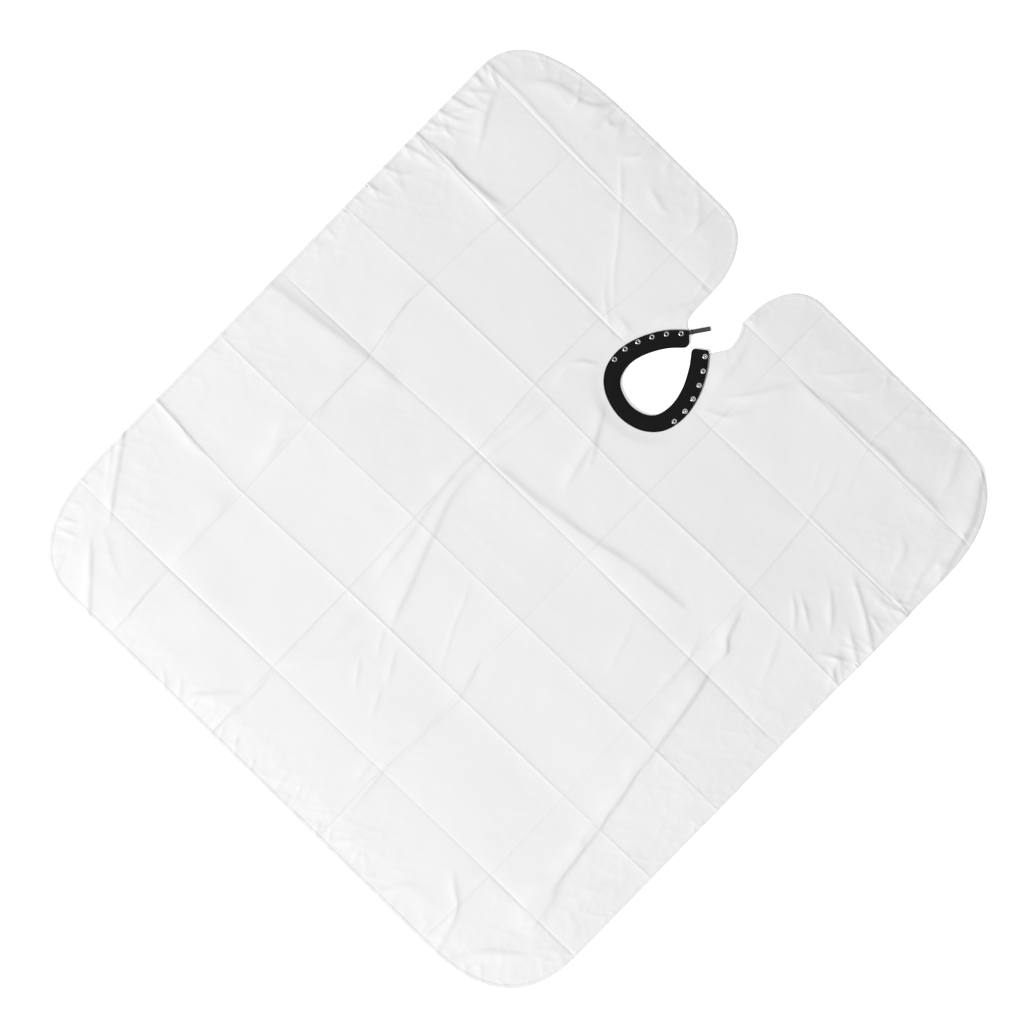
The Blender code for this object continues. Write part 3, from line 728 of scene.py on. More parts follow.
def joined(name, meshes):
    """Several meshes as one object."""
    shape = bmesh.new()
    for mesh in meshes:
        shape.from_mesh(mesh)
    result = meshes[0].copy()
    shape.to_mesh(result)
    shape.free()
    for mesh in meshes:
        bpy.data.meshes.remove(mesh)
    result.name = name
    return add_object(name, result)


def lathe(name, profile, sides, material, recesses):
    """A solid turned about Z from a profile of (radius, height) that ends on the axis or closes.

    Recesses are (radius, height, share): what lies inside and below them is darkened with painted shade.
    """
    corners = []
    faces = []
    for radius, height in profile:
        for side in range(sides):
            turn = math.tau * side / sides
            corners.append((radius * math.cos(turn), radius * math.sin(turn), height))
    count = len(profile)
    for step in range(count):
        following = (step + 1) % count
        for side in range(sides):
            after = (side + 1) % sides
            faces.append((
                step * sides + side, step * sides + after,
                following * sides + after, following * sides + side,
            ))
    mesh = new_mesh(name, corners, faces, material)
    shape = bmesh.new()
    shape.from_mesh(mesh)
    bmesh.ops.remove_doubles(shape, verts=shape.verts[:], dist=1e-6)
    bmesh.ops.recalc_face_normals(shape, faces=shape.faces[:])
    shape.to_mesh(mesh)
    shape.free()
    mesh.shade_smooth()
    mesh.set_sharp_from_angle(angle=math.radians(50))
    # Painted shade: vertices in the recesses are marked to be darkened as if in shadow
    painted_hollow_shade = mesh.attributes.new("painted_hollow_shade", "FLOAT", "POINT")
    for vertex, value in zip(mesh.vertices, painted_hollow_shade.data):
        radius = math.hypot(vertex.co.x, vertex.co.y)
        value.value = max((share for reach, height, share in recesses
                           if radius < reach and vertex.co.z < height), default=0.0)
    return add_object(name, mesh)


# ---------------------------------------------------------------- geometry nodes

def tree_socket(tree, name, kind, default=None):
    socket = tree.interface.new_socket(name=name, in_out="INPUT", socket_type=kind)
    if default is not None:
        socket.default_value = default
    return socket


def new_tree(name):
    old = bpy.data.node_groups.get(name)
    if old:
        bpy.data.node_groups.remove(old)
    tree = bpy.data.node_groups.new(name, "GeometryNodeTree")
    tree.interface.new_socket(name="Geometry", in_out="INPUT", socket_type="NodeSocketGeometry")
    tree.interface.new_socket(name="Geometry", in_out="OUTPUT", socket_type="NodeSocketGeometry")
    return tree


def copies_tree(name, template, material):
    """A tree whose last steps copy a template onto points and give the copies a material.

    Returns the tree, its input node and the node that takes the points.
    """
    tree = new_tree(name)
    tree_socket(tree, template, "NodeSocketObject")
    tree_socket(tree, material, "NodeSocketMaterial")
    start, shape, copies, real, paint, end = (tree.nodes.new(kind) for kind in (
        "NodeGroupInput", "GeometryNodeObjectInfo", "GeometryNodeInstanceOnPoints",
        "GeometryNodeRealizeInstances", "GeometryNodeSetMaterial", "NodeGroupOutput",
    ))
    for source, output, target, entry in (
        (start, template, shape, "Object"),
        (shape, "Geometry", copies, "Instance"),
        (copies, "Instances", real, "Geometry"),
        (real, "Geometry", paint, "Geometry"),
        (start, material, paint, "Material"),
        (paint, "Geometry", end, "Geometry"),
    ):
        tree.links.new(source.outputs[output], target.inputs[entry])
    return tree, start, copies


def stitch_tree():
    """Stitches at an even pitch along the edges of a mesh line."""
    tree, start, copies = copies_tree("Stitches along a line", "Stitch", "Thread")
    tree_socket(tree, "Pitch", "NodeSocketFloat", 0.003)
    line = tree.nodes.new("GeometryNodeMeshToCurve")
    even = tree.nodes.new("GeometryNodeResampleCurve")
    even.mode = "LENGTH"
    points = tree.nodes.new("GeometryNodeCurveToPoints")
    points.mode = "EVALUATED"
    link = tree.links.new
    link(start.outputs["Geometry"], line.inputs["Mesh"])
    link(line.outputs["Curve"], even.inputs["Curve"])
    link(start.outputs["Pitch"], even.inputs["Length"])
    link(even.outputs["Curve"], points.inputs["Curve"])
    link(points.outputs["Points"], copies.inputs["Points"])
    link(points.outputs["Rotation"], copies.inputs["Rotation"])
    return tree


def snap_tree():
    """One snap half on each point of a mesh, each turned a little differently."""
    tree, start, copies = copies_tree("Snaps on points", "Snap", "Metal")
    tree_socket(tree, "Seed", "NodeSocketInt", 3)
    turn = tree.nodes.new("FunctionNodeRandomValue")
    turn.data_type = "FLOAT_VECTOR"
    turn.inputs["Min"].default_value = (-SNAP_TILT, -SNAP_TILT, 0.0)
    turn.inputs["Max"].default_value = (SNAP_TILT, SNAP_TILT, math.tau)
    link = tree.links.new
    link(start.outputs["Geometry"], copies.inputs["Points"])
    link(start.outputs["Seed"], turn.inputs["Seed"])
    link(turn.outputs["Value"], copies.inputs["Rotation"])
    return tree


def grown(name, points, edges, tree, inputs):
    """A plain mesh object from a tree that starts on these points and edges."""
    seed_mesh = bpy.data.meshes.new(name + " seed")
    seed_mesh.from_pydata([tuple(point) for point in points], edges, [])
    seed = add_object(name + " seed", seed_mesh)
    modifier = seed.modifiers.new("Nodes", "NODES")
    modifier.node_group = tree
    for socket in tree.interface.items_tree:
        if socket.in_out == "INPUT" and socket.name in inputs:
            modifier[socket.identifier] = inputs[socket.name]
    seed.update_tag()
    bpy.context.view_layer.update()
    graph = bpy.context.evaluated_depsgraph_get()
    mesh = bpy.data.meshes.new_from_object(seed.evaluated_get(graph), depsgraph=graph)
    mesh.name = name
    if not mesh.materials:
        mesh.materials.append(inputs.get("Thread") or inputs.get("Metal"))
    bpy.data.objects.remove(seed)
    bpy.data.meshes.remove(seed_mesh)
    if not mesh.polygons:
        raise RuntimeError(f"{name} came out empty")
    return add_object(name, mesh)


def thread_stitch(name, length, radius, material):
    """One stitch lying along X, its ends dipping into the cloth. A few dozen faces."""
    sides = 6
    places = np.array([-0.5, -0.42, -0.2, 0.0, 0.2, 0.42, 0.5]) * length
    rise = np.array([-1.3, -0.35, 0.15, 0.25, 0.15, -0.35, -1.3]) * radius
    girth = np.array([0.45, 0.85, 1.0, 1.05, 1.0, 0.85, 0.45]) * radius
    turn = np.arange(sides) * math.tau / sides
    rings = np.zeros((len(places), sides, 3))
    rings[..., 0] = places[:, None]
    rings[..., 1] = girth[:, None] * np.cos(turn)
    rings[..., 2] = rise[:, None] + girth[:, None] * np.sin(turn)
    return add_object(name, sleeve(name, rings, material))


# ---------------------------------------------------------------- materials

class NodeMaker:
    """Short names for making and joining shader nodes in one tree."""

    def __init__(self, tree):
        self.tree = tree

    def node(self, kind, **settings):
        made = self.tree.nodes.new(kind)
        for name, value in settings.items():
            setattr(made, name, value)
        return made

    def link(self, source, target):
        self.tree.links.new(source, target)

    def feed(self, socket, value):
        if isinstance(value, bpy.types.NodeSocket):
            self.link(value, socket)
        else:
            socket.default_value = value

    def maths(self, operation, *values, clamp=False):
        made = self.node("ShaderNodeMath", operation=operation, use_clamp=clamp)
        for socket, value in zip(made.inputs, values):
            self.feed(socket, value)
        return made.outputs[0]

    def scaled_range(self, value, low, high, to_low, to_high):
        made = self.node("ShaderNodeMapRange")
        for name, item in (("Value", value), ("From Min", low), ("From Max", high),
                           ("To Min", to_low), ("To Max", to_high)):
            self.feed(made.inputs[name], item)
        return made.outputs["Result"]

    def mixed(self, share, first, second):
        made = self.node("ShaderNodeMix", data_type="RGBA")
        self.feed(made.inputs[0], share)
        self.feed(made.inputs[6], first)
        self.feed(made.inputs[7], second)
        return made.outputs[2]

    def noise(self, vector, scale, detail=3.0, roughness=0.55):
        made = self.node("ShaderNodeTexNoise")
        self.feed(made.inputs["Vector"], vector)
        made.inputs["Scale"].default_value = scale
        made.inputs["Detail"].default_value = detail
        made.inputs["Roughness"].default_value = roughness
        return made.outputs["Fac"]

    def group(self, tree, **values):
        made = self.node("ShaderNodeGroup", node_tree=tree)
        for name, value in values.items():
            self.feed(made.inputs[name.replace("_", " ")], value)
        return made


def shader_group(name, inputs, outputs):
    old = bpy.data.node_groups.get(name)
    if old:
        bpy.data.node_groups.remove(old)
    tree = bpy.data.node_groups.new(name, "ShaderNodeTree")
    for label, kind, default in inputs:
        socket = tree.interface.new_socket(name=label, in_out="INPUT", socket_type=kind)
        if default is not None:
            socket.default_value = default
    for label, kind in outputs:
        tree.interface.new_socket(name=label, in_out="OUTPUT", socket_type=kind)
    maker = NodeMaker(tree)
    return tree, maker, maker.node("NodeGroupInput"), maker.node("NodeGroupOutput")


def plain_weave_group():
    """Over-and-under threads in the XY plane of the given vector."""
    tree, make, start, end = shader_group(
        "Plain weave",
        [("Vector", "NodeSocketVector", None), ("Spacing", "NodeSocketFloat", 0.0004)],
        [("Height", "NodeSocketFloat")],
    )
    split = make.node("ShaderNodeSeparateXYZ")
    make.link(start.outputs["Vector"], split.inputs[0])
    waves = []
    for axis in range(2):
        turns = make.maths("DIVIDE", split.outputs[axis], start.outputs["Spacing"])
        waves.append(make.maths("SINE", make.maths("MULTIPLY", turns, math.pi)))
    warp_on_top = make.maths("GREATER_THAN", make.maths("MULTIPLY", waves[0], waves[1]), 0.0)
    warp = make.maths("MULTIPLY", make.maths("ABSOLUTE", waves[0]), warp_on_top)
    weft_on_top = make.maths("SUBTRACT", 1.0, warp_on_top)
    weft = make.maths("MULTIPLY", make.maths("ABSOLUTE", waves[1]), weft_on_top)
    make.link(make.maths("ADD", warp, weft), end.inputs["Height"])
    return tree


def mottle_group():
    """Uneven tone: broad clouds and fine flecks, from 0 to 1."""
    tree, make, start, end = shader_group(
        "Mottle",
        [("Vector", "NodeSocketVector", None), ("Broad", "NodeSocketFloat", 0.5),
         ("Fine", "NodeSocketFloat", 0.5)],
        [("Value", "NodeSocketFloat")],
    )
    place = start.outputs["Vector"]
    broad = make.maths("MULTIPLY", make.noise(place, 9.0), start.outputs["Broad"])
    fine = make.maths("MULTIPLY", make.noise(place, 420.0, 2.0), start.outputs["Fine"])
    make.link(make.maths("ADD", broad, fine, clamp=True), end.inputs["Value"])
    return tree


def knit_group():
    """Columns of knitted loops that run along U, with V across, in metres."""
    tree, make, start, end = shader_group(
        "Jersey knit",
        [("UV", "NodeSocketVector", None), ("Gauge", "NodeSocketFloat", 0.0007)],
        [("Height", "NodeSocketFloat")],
    )
    split = make.node("ShaderNodeSeparateXYZ")
    make.link(start.outputs["UV"], split.inputs[0])
    across = make.maths("DIVIDE", split.outputs[1], start.outputs["Gauge"])
    column = make.maths("ABSOLUTE", make.maths("SINE", make.maths("MULTIPLY", across, math.pi)))
    slant = make.maths("PINGPONG", across, 0.5)
    along = make.maths("DIVIDE", split.outputs[0], start.outputs["Gauge"])
    loop_turn = make.maths("MULTIPLY", make.maths("ADD", along, slant), math.tau)
    loop = make.maths("MULTIPLY_ADD", make.maths("SINE", loop_turn), 0.5, 0.5)
    height = make.maths("MULTIPLY_ADD", loop, 0.5, make.maths("MULTIPLY", column, 0.5))
    make.link(height, end.inputs["Height"])
    return tree


def rib_group():
    """Ribs across a woven tape, with U along the tape."""
    tree, make, start, end = shader_group(
        "Tape ribs",
        [("UV", "NodeSocketVector", None), ("Pitch", "NodeSocketFloat", 0.0007),
         ("Slant", "NodeSocketFloat", 0.0)],
        [("Height", "NodeSocketFloat")],
    )
    split = make.node("ShaderNodeSeparateXYZ")
    make.link(start.outputs["UV"], split.inputs[0])
    shifted = make.maths("MULTIPLY_ADD", split.outputs[1], start.outputs["Slant"], split.outputs[0])
    turns = make.maths("DIVIDE", shifted, start.outputs["Pitch"])
    wave = make.maths("SINE", make.maths("MULTIPLY", turns, math.tau))
    make.link(make.maths("MULTIPLY_ADD", wave, 0.5, 0.5), end.inputs["Height"])
    return tree


def wear_group():
    """Rubbed spots and fine scratches, from 0, fresh, to 1, worn."""
    tree, make, start, end = shader_group(
        "Wear",
        [("Vector", "NodeSocketVector", None), ("Amount", "NodeSocketFloat", 0.5)],
        [("Mask", "NodeSocketFloat")],
    )
    spots = make.noise(start.outputs["Vector"], 900.0, 4.0, 0.65)
    stretch = make.node("ShaderNodeMapping")
    stretch.inputs["Scale"].default_value = (240.0, 3200.0, 900.0)
    stretch.inputs["Rotation"].default_value = (0.0, 0.0, 0.7)
    make.link(start.outputs["Vector"], stretch.inputs["Vector"])
    scratches = make.noise(stretch.outputs["Vector"], 1.0, 3.0)
    both = make.maths("MULTIPLY_ADD", spots, 0.6, make.maths("MULTIPLY", scratches, 0.5))
    spread = make.scaled_range(both, 0.45, 0.75, 0.0, 1.0)
    make.link(make.maths("MULTIPLY", spread, start.outputs["Amount"], clamp=True), end.inputs["Mask"])
    return tree


GROUPS = {}


def make_groups():
    GROUPS.update(
        weave=plain_weave_group(), mottle=mottle_group(), knit=knit_group(),
        ribs=rib_group(), wear=wear_group(),
    )


def new_material(name):
    old = bpy.data.materials.get(name)
    if old:
        bpy.data.materials.remove(old)
    material = bpy.data.materials.new(name)
    material.use_nodes = True
    make = NodeMaker(material.node_tree)
    shader = material.node_tree.nodes["Principled BSDF"]
    return material, make, shader


def shade(colour, factor):
    return tuple(min(channel * factor, 1.0) for channel in colour) + (1.0,)


def bump(make, shader, height, distance, strength):
    made = make.node("ShaderNodeBump")
    made.inputs["Distance"].default_value = distance
    made.inputs["Strength"].default_value = strength
    make.link(height, made.inputs["Height"])
    make.link(made.outputs["Normal"], shader.inputs["Normal"])


def surface(make, shader, colour, roughness):
    """Joins a colour and a roughness, given as (value, low, high), to the shader."""
    make.link(colour, shader.inputs["Base Color"])
    make.link(make.scaled_range(roughness[0], 0.0, 1.0, *roughness[1:]), shader.inputs["Roughness"])


def object_coords(make):
    return make.node("ShaderNodeTexCoord").outputs["Object"]


def uv_coords(make):
    return make.node("ShaderNodeUVMap", uv_map="UVMap").outputs["UV"]


def cloth_material(settings, name="cape cloth", factor=1.0):
    """Thin plain-woven cloth with a faint sheen, with painted shade darkening it along its pressed lines."""
    material, make, shader = new_material(name)
    place = object_coords(make)
    mottle = make.group(GROUPS["mottle"], Vector=place, Broad=0.6, Fine=0.4).outputs["Value"]
    # Painted shade: the 'pressed' attribute darkens the colour along the creases, as if they held shadow
    painted_crease_shade = make.node("ShaderNodeAttribute", attribute_name="pressed").outputs["Fac"]
    low, high, pressed = (shade(settings.colour, share * factor) for share in (0.975, 1.015, 0.80))
    dark = make.maths("MULTIPLY", painted_crease_shade, 0.42, clamp=True)
    colour = make.mixed(dark, make.mixed(mottle, low, high), pressed)
    surface(make, shader, colour, (mottle, 0.74, 0.9))
    weave = make.group(GROUPS["weave"], Vector=place, Spacing=0.00042).outputs["Height"]
    slubs = make.noise(place, 700.0, 2.0)
    bump(make, shader, make.maths("MULTIPLY_ADD", slubs, 0.35, weave), 0.00006, 0.35)
    shader.inputs["Specular IOR Level"].default_value = 0.25
    shader.inputs["Sheen Weight"].default_value = 0.08
    shader.inputs["Sheen Roughness"].default_value = 0.4
    return material


def jersey_material(settings):
    """Matt black knitted jersey over the collar's foam."""
    material, make, shader = new_material("collar jersey")
    flat = uv_coords(make)
    place = object_coords(make)
    knit = make.group(GROUPS["knit"], UV=flat, Gauge=0.00075).outputs["Height"]
    mottle = make.group(GROUPS["mottle"], Vector=place, Broad=0.55, Fine=0.45).outputs["Value"]
    base = make.mixed(mottle, shade(settings.colour, 0.75), shade(settings.colour, 1.45))
    lit = make.mixed(make.maths("MULTIPLY", knit, 0.35), base, shade(settings.colour, 2.4))
    surface(make, shader, lit, (mottle, 0.78, 0.94))
    fuzz = make.noise(place, 1900.0, 3.0)
    bump(make, shader, make.maths("MULTIPLY_ADD", fuzz, 0.4, knit), 0.00018, 0.55)
    shader.inputs["Specular IOR Level"].default_value = 0.12
    shader.inputs["Sheen Weight"].default_value = 0.035
    shader.inputs["Sheen Roughness"].default_value = 0.5
    return material


def tape_material(name, colour, pitch, slant, lift, roughness):
    """Ribbed woven tape; lift is how much lighter its ribs, its worn spots and the painted sheen along its middle
    are.
    """
    material, make, shader = new_material(name)
    flat = uv_coords(make)
    place = object_coords(make)
    ribs = make.group(GROUPS["ribs"], UV=flat, Pitch=pitch, Slant=slant).outputs["Height"]
    wear = make.group(GROUPS["wear"], Vector=place, Amount=0.7).outputs["Mask"]
    # Painted sheen: the 'middle' attribute lightens the tape along its middle, as if lit; worn spots lighten it
    # too
    middle = make.node("ShaderNodeAttribute", attribute_name="middle").outputs["Fac"]
    light = make.maths("MULTIPLY_ADD", middle, 0.65, make.maths("MULTIPLY", wear, 0.3), clamp=True)
    base = make.mixed(light, shade(colour, 1.0), shade(colour, lift))
    ribbed = make.mixed(make.maths("MULTIPLY", ribs, 0.3), base, shade(colour, 0.6))
    surface(make, shader, ribbed, (wear, roughness, roughness + 0.12))
    bump(make, shader, ribs, 0.00012, 0.5)
    shader.inputs["Specular IOR Level"].default_value = 0.12
    shader.inputs["Sheen Weight"].default_value = 0.03
    return material


def thread_material(name, colour):
    """Twisted sewing thread with a soft shine."""
    material, make, shader = new_material(name)
    place = object_coords(make)
    twist = make.noise(place, 2600.0, 2.0)
    make.link(make.mixed(twist, shade(colour, 0.82), shade(colour, 1.1)), shader.inputs["Base Color"])
    make.link(make.scaled_range(twist, 0.2, 0.8, 0.45, 0.65), shader.inputs["Roughness"])
    bump(make, shader, twist, 0.00006, 0.4)
    return material


def metal_material(settings, name, factor, roughness):
    """Bright nickel plate with rubbed spots and hairline scratches, and painted shade darkening its hollows."""
    material, make, shader = new_material(name)
    place = object_coords(make)
    wear = make.group(GROUPS["wear"], Vector=place, Amount=0.8).outputs["Mask"]
    plated = make.mixed(wear, shade(settings.metal, factor), shade(settings.metal, factor * 0.72))
    # Painted shade: the hollows and the foot of the stud's knob are darkened nearly to black, as if in shadow
    painted_hollow_shade = make.node("ShaderNodeAttribute", attribute_name="painted_hollow_shade").outputs["Fac"]
    colour = make.mixed(painted_hollow_shade, plated, shade(settings.metal, factor * 0.10))
    dull = make.maths("MAXIMUM", wear, painted_hollow_shade)
    surface(make, shader, colour, (dull, roughness, roughness + 0.25))
    shader.inputs["Metallic"].default_value = 1.0
    bump(make, shader, wear, 0.00004, 0.25)
    return material


def floor_material():
    """Plain white seamless paper, with a faint tooth, lit to a clean white."""
    material, make, shader = new_material("studio paper")
    place = object_coords(make)
    tooth = make.noise(place, 160.0, 2.0)
    paper = make.mixed(tooth, (0.93, 0.93, 0.93, 1.0), (0.96, 0.96, 0.96, 1.0))
    make.link(paper, shader.inputs["Base Color"])
    shader.inputs["Roughness"].default_value = 0.95
    shader.inputs["Specular IOR Level"].default_value = 0.1
    shader.inputs["Emission Color"].default_value = (1.0, 1.0, 1.0, 1.0)
    shader.inputs["Emission Strength"].default_value = 0.42
    return material


# ---------------------------------------------------------------- the cloth

def grid_lines(extent, means, fine, coarse):
    """Places from one side to the other, closer together beside the pressed lines."""
    places = np.linspace(-extent / 2, extent / 2, 8001)
    beside = np.zeros(places.shape)
    for mean in means:
        beside = np.maximum(beside, np.exp(-((places - mean) / 0.011) ** 4))
    density = 1 / coarse + (1 / fine - 1 / coarse) * beside
    total = np.concatenate([[0.0], np.cumsum((density[1:] + density[:-1]) / 2 * np.diff(places))])
    count = int(round(total[-1]))
    return np.interp(np.linspace(0, total[-1], count + 1), total, places)


class ClothGrid:
    """A grid over the cut, its lines along the pressed creases, trimmed to the outline."""

    def __init__(self, settings, drape):
        cells = settings.fine_cell, settings.coarse_cell
        rows = grid_lines(LENGTH, [crease[0] for crease in CROSS_ROUTES[0]], *cells)
        columns = grid_lines(WIDTH, [crease[0] for crease in LENGTH_ROUTES[0]], *cells)
        u, v = np.meshgrid(columns, rows)
        self.x = u + wander(v, u, LENGTH_ROUTES)
        self.y = v + wander(u, v, CROSS_ROUTES)
        centre_x = (self.x[1:, 1:] + self.x[:-1, 1:] + self.x[1:, :-1] + self.x[:-1, :-1]) / 4
        centre_y = (self.y[1:, 1:] + self.y[:-1, 1:] + self.y[1:, :-1] + self.y[:-1, :-1]) / 4
        self.polygon = cloth_polygon()
        self.cells = inside(centre_x, centre_y, self.polygon)
        self.fit_to_outline()
        self.z = np.zeros(self.x.shape)
        self.painted_crease_shade = np.zeros(self.x.shape)
        used = self.used
        self.z[used], self.painted_crease_shade[used] = drape(self.x[used], self.y[used])
        self.normals = self.vertex_normals()
        self.seam_rows = [int(np.argmin(np.abs(rows - place))) for place in (FRONT_SEAM_Y, BACK_SEAM_Y)]
        self.seam_column = int(np.argmin(np.abs(columns - SIDE_SEAM_X)))

    @staticmethod
    def at_corners(values, total):
        """Adds each cell's value to its four vertices."""
        total[1:, 1:] += values
        total[:-1, 1:] += values
        total[1:, :-1] += values
        total[:-1, :-1] += values
        return total

    def fit_to_outline(self):
        """Moves the outermost vertices onto the outline, and evens out those just inside."""
        count = self.at_corners(self.cells.astype(int), np.zeros(self.x.shape, int))
        self.used = count > 0
        border = self.used & (count < 4)
        closed = np.vstack([self.polygon, self.polygon[:1]])
        samples = resampled(closed, 0.0008)
        tree = KDTree(len(samples))
        for index, (x, y) in enumerate(samples):
            tree.insert((x, y, 0), index)
        tree.balance()
        for row, column in zip(*np.nonzero(border)):
            nearest = tree.find((self.x[row, column], self.y[row, column], 0))[0]
            self.x[row, column], self.y[row, column] = nearest.x, nearest.y
        near = border.copy()
        for _ in range(3):
            spread = near.copy()
            spread[1:] |= near[:-1]
            spread[:-1] |= near[1:]
            spread[:, 1:] |= near[:, :-1]
            spread[:, :-1] |= near[:, 1:]
            near = spread
        free = near & self.used & ~border
        free[0] = free[-1] = False
        free[:, 0] = free[:, -1] = False
        row, column = np.nonzero(free)
        for _ in range(8):
            for values in (self.x, self.y):
                values[row, column] = (
                    values[row + 1, column] + values[row - 1, column]
                    + values[row, column + 1] + values[row, column - 1]
                ) / 4

    def vertex_normals(self):
        points = np.stack([self.x, self.y, self.z], axis=2)
        one = points[1:, 1:] - points[:-1, :-1]
        two = points[1:, :-1] - points[:-1, 1:]
        face = np.cross(one, two) * self.cells[..., None]
        total = self.at_corners(face, np.zeros(points.shape))
        length = np.linalg.norm(total, axis=2, keepdims=True)
        return np.divide(total, length, out=np.zeros_like(total), where=length > 0)

    def piece_cells(self, name):
        """Which cells belong to a piece: its length of the cape, and its side."""
        rows = {
            "front": slice(0, self.seam_rows[0]),
            "middle": slice(self.seam_rows[0], self.seam_rows[1]),
            "back": slice(self.seam_rows[1], self.cells.shape[0]),
        }[name.split("_")[1]]
        columns = slice(0, self.seam_column)
        if name.endswith("right"):
            columns = slice(self.seam_column, self.cells.shape[1])
        chosen = np.zeros(self.cells.shape, bool)
        chosen[rows, columns] = self.cells[rows, columns]
        return chosen

    def piece(self, name, thickness, material):
        """One closed piece of cloth: its top, its underside and its rim."""
        chosen = self.piece_cells(name)
        row, column = np.nonzero(chosen)
        width = self.x.shape[1]
        low_left = row * width + column
        quads = np.column_stack([low_left, low_left + 1, low_left + width + 1, low_left + width])
        own = np.unique(quads)
        number = np.full(self.x.size, -1)
        number[own] = np.arange(len(own))
        top = number[quads]
        count = len(own)
        rims = []
        padded = np.pad(chosen, 1)
        for side, (row_step, column_step) in enumerate(((-1, 0), (0, 1), (1, 0), (0, -1))):
            open_side = ~padded[row + 1 + row_step, column + 1 + column_step]
            first = top[open_side, side]
            second = top[open_side, (side + 1) % 4]
            rims.append(np.column_stack([second, first, first + count, second + count]))
        faces = np.vstack([top, top[:, ::-1] + count, *rims])
        points = np.stack([self.x, self.y, self.z], axis=2).reshape(-1, 3)[own]
        normals = self.normals.reshape(-1, 3)[own]
        corners = np.vstack([points + normals * thickness / 2, points - normals * thickness / 2])
        mesh = bpy.data.meshes.new(name)
        mesh.vertices.add(len(corners))
        mesh.vertices.foreach_set("co", corners.astype(np.float32).ravel())
        mesh.loops.add(faces.size)
        mesh.loops.foreach_set("vertex_index", faces.astype(np.int32).ravel())
        mesh.polygons.add(len(faces))
        mesh.polygons.foreach_set("loop_start", np.arange(0, faces.size, 4, dtype=np.int32))
        mesh.update(calc_edges=True)
        mesh.validate()
        mesh.materials.append(material)
        mesh.shade_smooth()
        mesh.normals_split_custom_set_from_vertices([tuple(n) for n in np.vstack([normals, -normals])])
        # The painted shade along the creases, stored as the 'pressed' attribute
        pressed = mesh.attributes.new("pressed", "FLOAT", "POINT")
        pressed.data.foreach_set("value", np.tile(self.painted_crease_shade.ravel()[own], 2).astype(np.float32))
        a, b, c, d = (points[top[:, corner]][:, :2] for corner in range(4))
        area = 0.5 * np.abs(
            (c[:, 0] - a[:, 0]) * (d[:, 1] - b[:, 1]) - (c[:, 1] - a[:, 1]) * (d[:, 0] - b[:, 0])
        ).sum()
        return add_object(name, mesh), points, area


def bend_at_crease(piece):
    """Bakes a piece's placement into its mesh."""
    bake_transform(piece)


# What one step leaves for the next
STATE = {}


class CAPE_OT_cloth(bpy.types.Operator):
    """Makes the cape's cloth, with its pressed creases and loose folds"""
    bl_idname = "cape.cloth"
    bl_label = "Cloth"

    def execute(self, context):
        settings = context.scene.cape_cloth
        drape = Drape(settings)
        STATE["drape"] = drape
        grid = ClothGrid(settings, drape)
        material = cloth_material(settings)
        for name, node in CLOTH_PIECES.items():
            piece, points, area = grid.piece(name, settings.thickness, material)
            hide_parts(node)
            if "front" in name:
                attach(piece, "front_half")
            elif "middle" in name:
                bend_at_crease(piece)
            else:
                bend_at_crease(piece)
        return {"FINISHED"}


# ---------------------------------------------------------------- the hem

HEM_PARTS = {
    "hem_back_left": ("left_flap", ["hem_left_back", "hem_left_side"]),
    "hem_front": ("front_half", ["hem_front"]),
    "hem_back_right": ("right_flap", ["hem_right_back", "hem_right_side"]),
}


def hem_runs():
    """The free edge in three runs, divided on each side where the back cloth is."""
    edge = resampled(cloth_edge(), 0.0025)
    side = np.abs(edge[:, 0]) > 0.5
    above = edge[:, 1] > BACK_SEAM_Y
    turns = [i for i in range(len(edge) - 1) if side[i] and above[i] != above[i + 1]]
    first, last = turns[0], turns[-1]
    return {
        "hem_back_left": edge[:first + 1],
        "hem_front": edge[first:last + 1],
        "hem_back_right": edge[last:],
    }


class CAPE_OT_hem(bpy.types.Operator):
    """Makes the narrow turned hem round the cape's free edge, and its stitches"""
    bl_idname = "cape.hem"
    bl_label = "Hem"

    def execute(self, context):
        settings = context.scene.cape_cloth
        drape = STATE["drape"]
        wide = settings.hem_width
        section = [
            (wide + 0.0003, 0.00005), (wide, 0.00027), (wide - 0.0008, 0.00037),
            (wide - 0.0016, 0.00029), (wide - 0.0028, 0.00038), (wide * 0.4, 0.00041),
            (0.0012, 0.00037), (0.0004, 0.00024),
            (-0.0001, 0.00004), (0.0002, -0.00018), (0.0012, -0.00024), (wide * 0.5, -0.00024),
            (wide, -0.00022),
        ]
        material = cloth_material(settings, "hem cloth", 0.985)
        thread = thread_material("white thread", settings.colour)
        stitch = thread_stitch("hem stitch", settings.stitch_pitch * 0.78, 0.00013, thread)
        tree = stitch_tree()
        for name, line in hem_runs().items():
            body, nodes = HEM_PARTS[name]
            rings = swept_rings(line, section, lambda x, y: drape(x, y)[0])
            rings[..., 2] = np.maximum(rings[..., 2], 0.00008)
            mesh = sleeve(name, rings, material, section_uv(line, section))
            piece = add_object(name, mesh)
            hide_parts(*nodes)
            bend_at_crease(piece)
            sewn = line + left_normals(line) * (wide - 0.0016)
            height = drape(sewn[:, 0], sewn[:, 1])[0] + 0.00033
            points = np.column_stack([sewn, height])[2:-2]
            edges = [(i, i + 1) for i in range(len(points) - 1)]
            stitches = grown(
                name + "_stitches", points, edges, tree,
                {"Pitch": settings.stitch_pitch, "Stitch": stitch, "Thread": thread},
            )
            bend_at_crease(stitches)
        bpy.data.objects.remove(stitch)
        return {"FINISHED"}


# ---------------------------------------------------------------- the collar

# How far inside the binding the padded body ends, how far the stitches stay from an arm's end,
# and how far their middle lies above the collar
INSIDE_BINDING = 0.0004
SEWN_FROM_END = 0.0042
STITCH_RISE = 0.00005


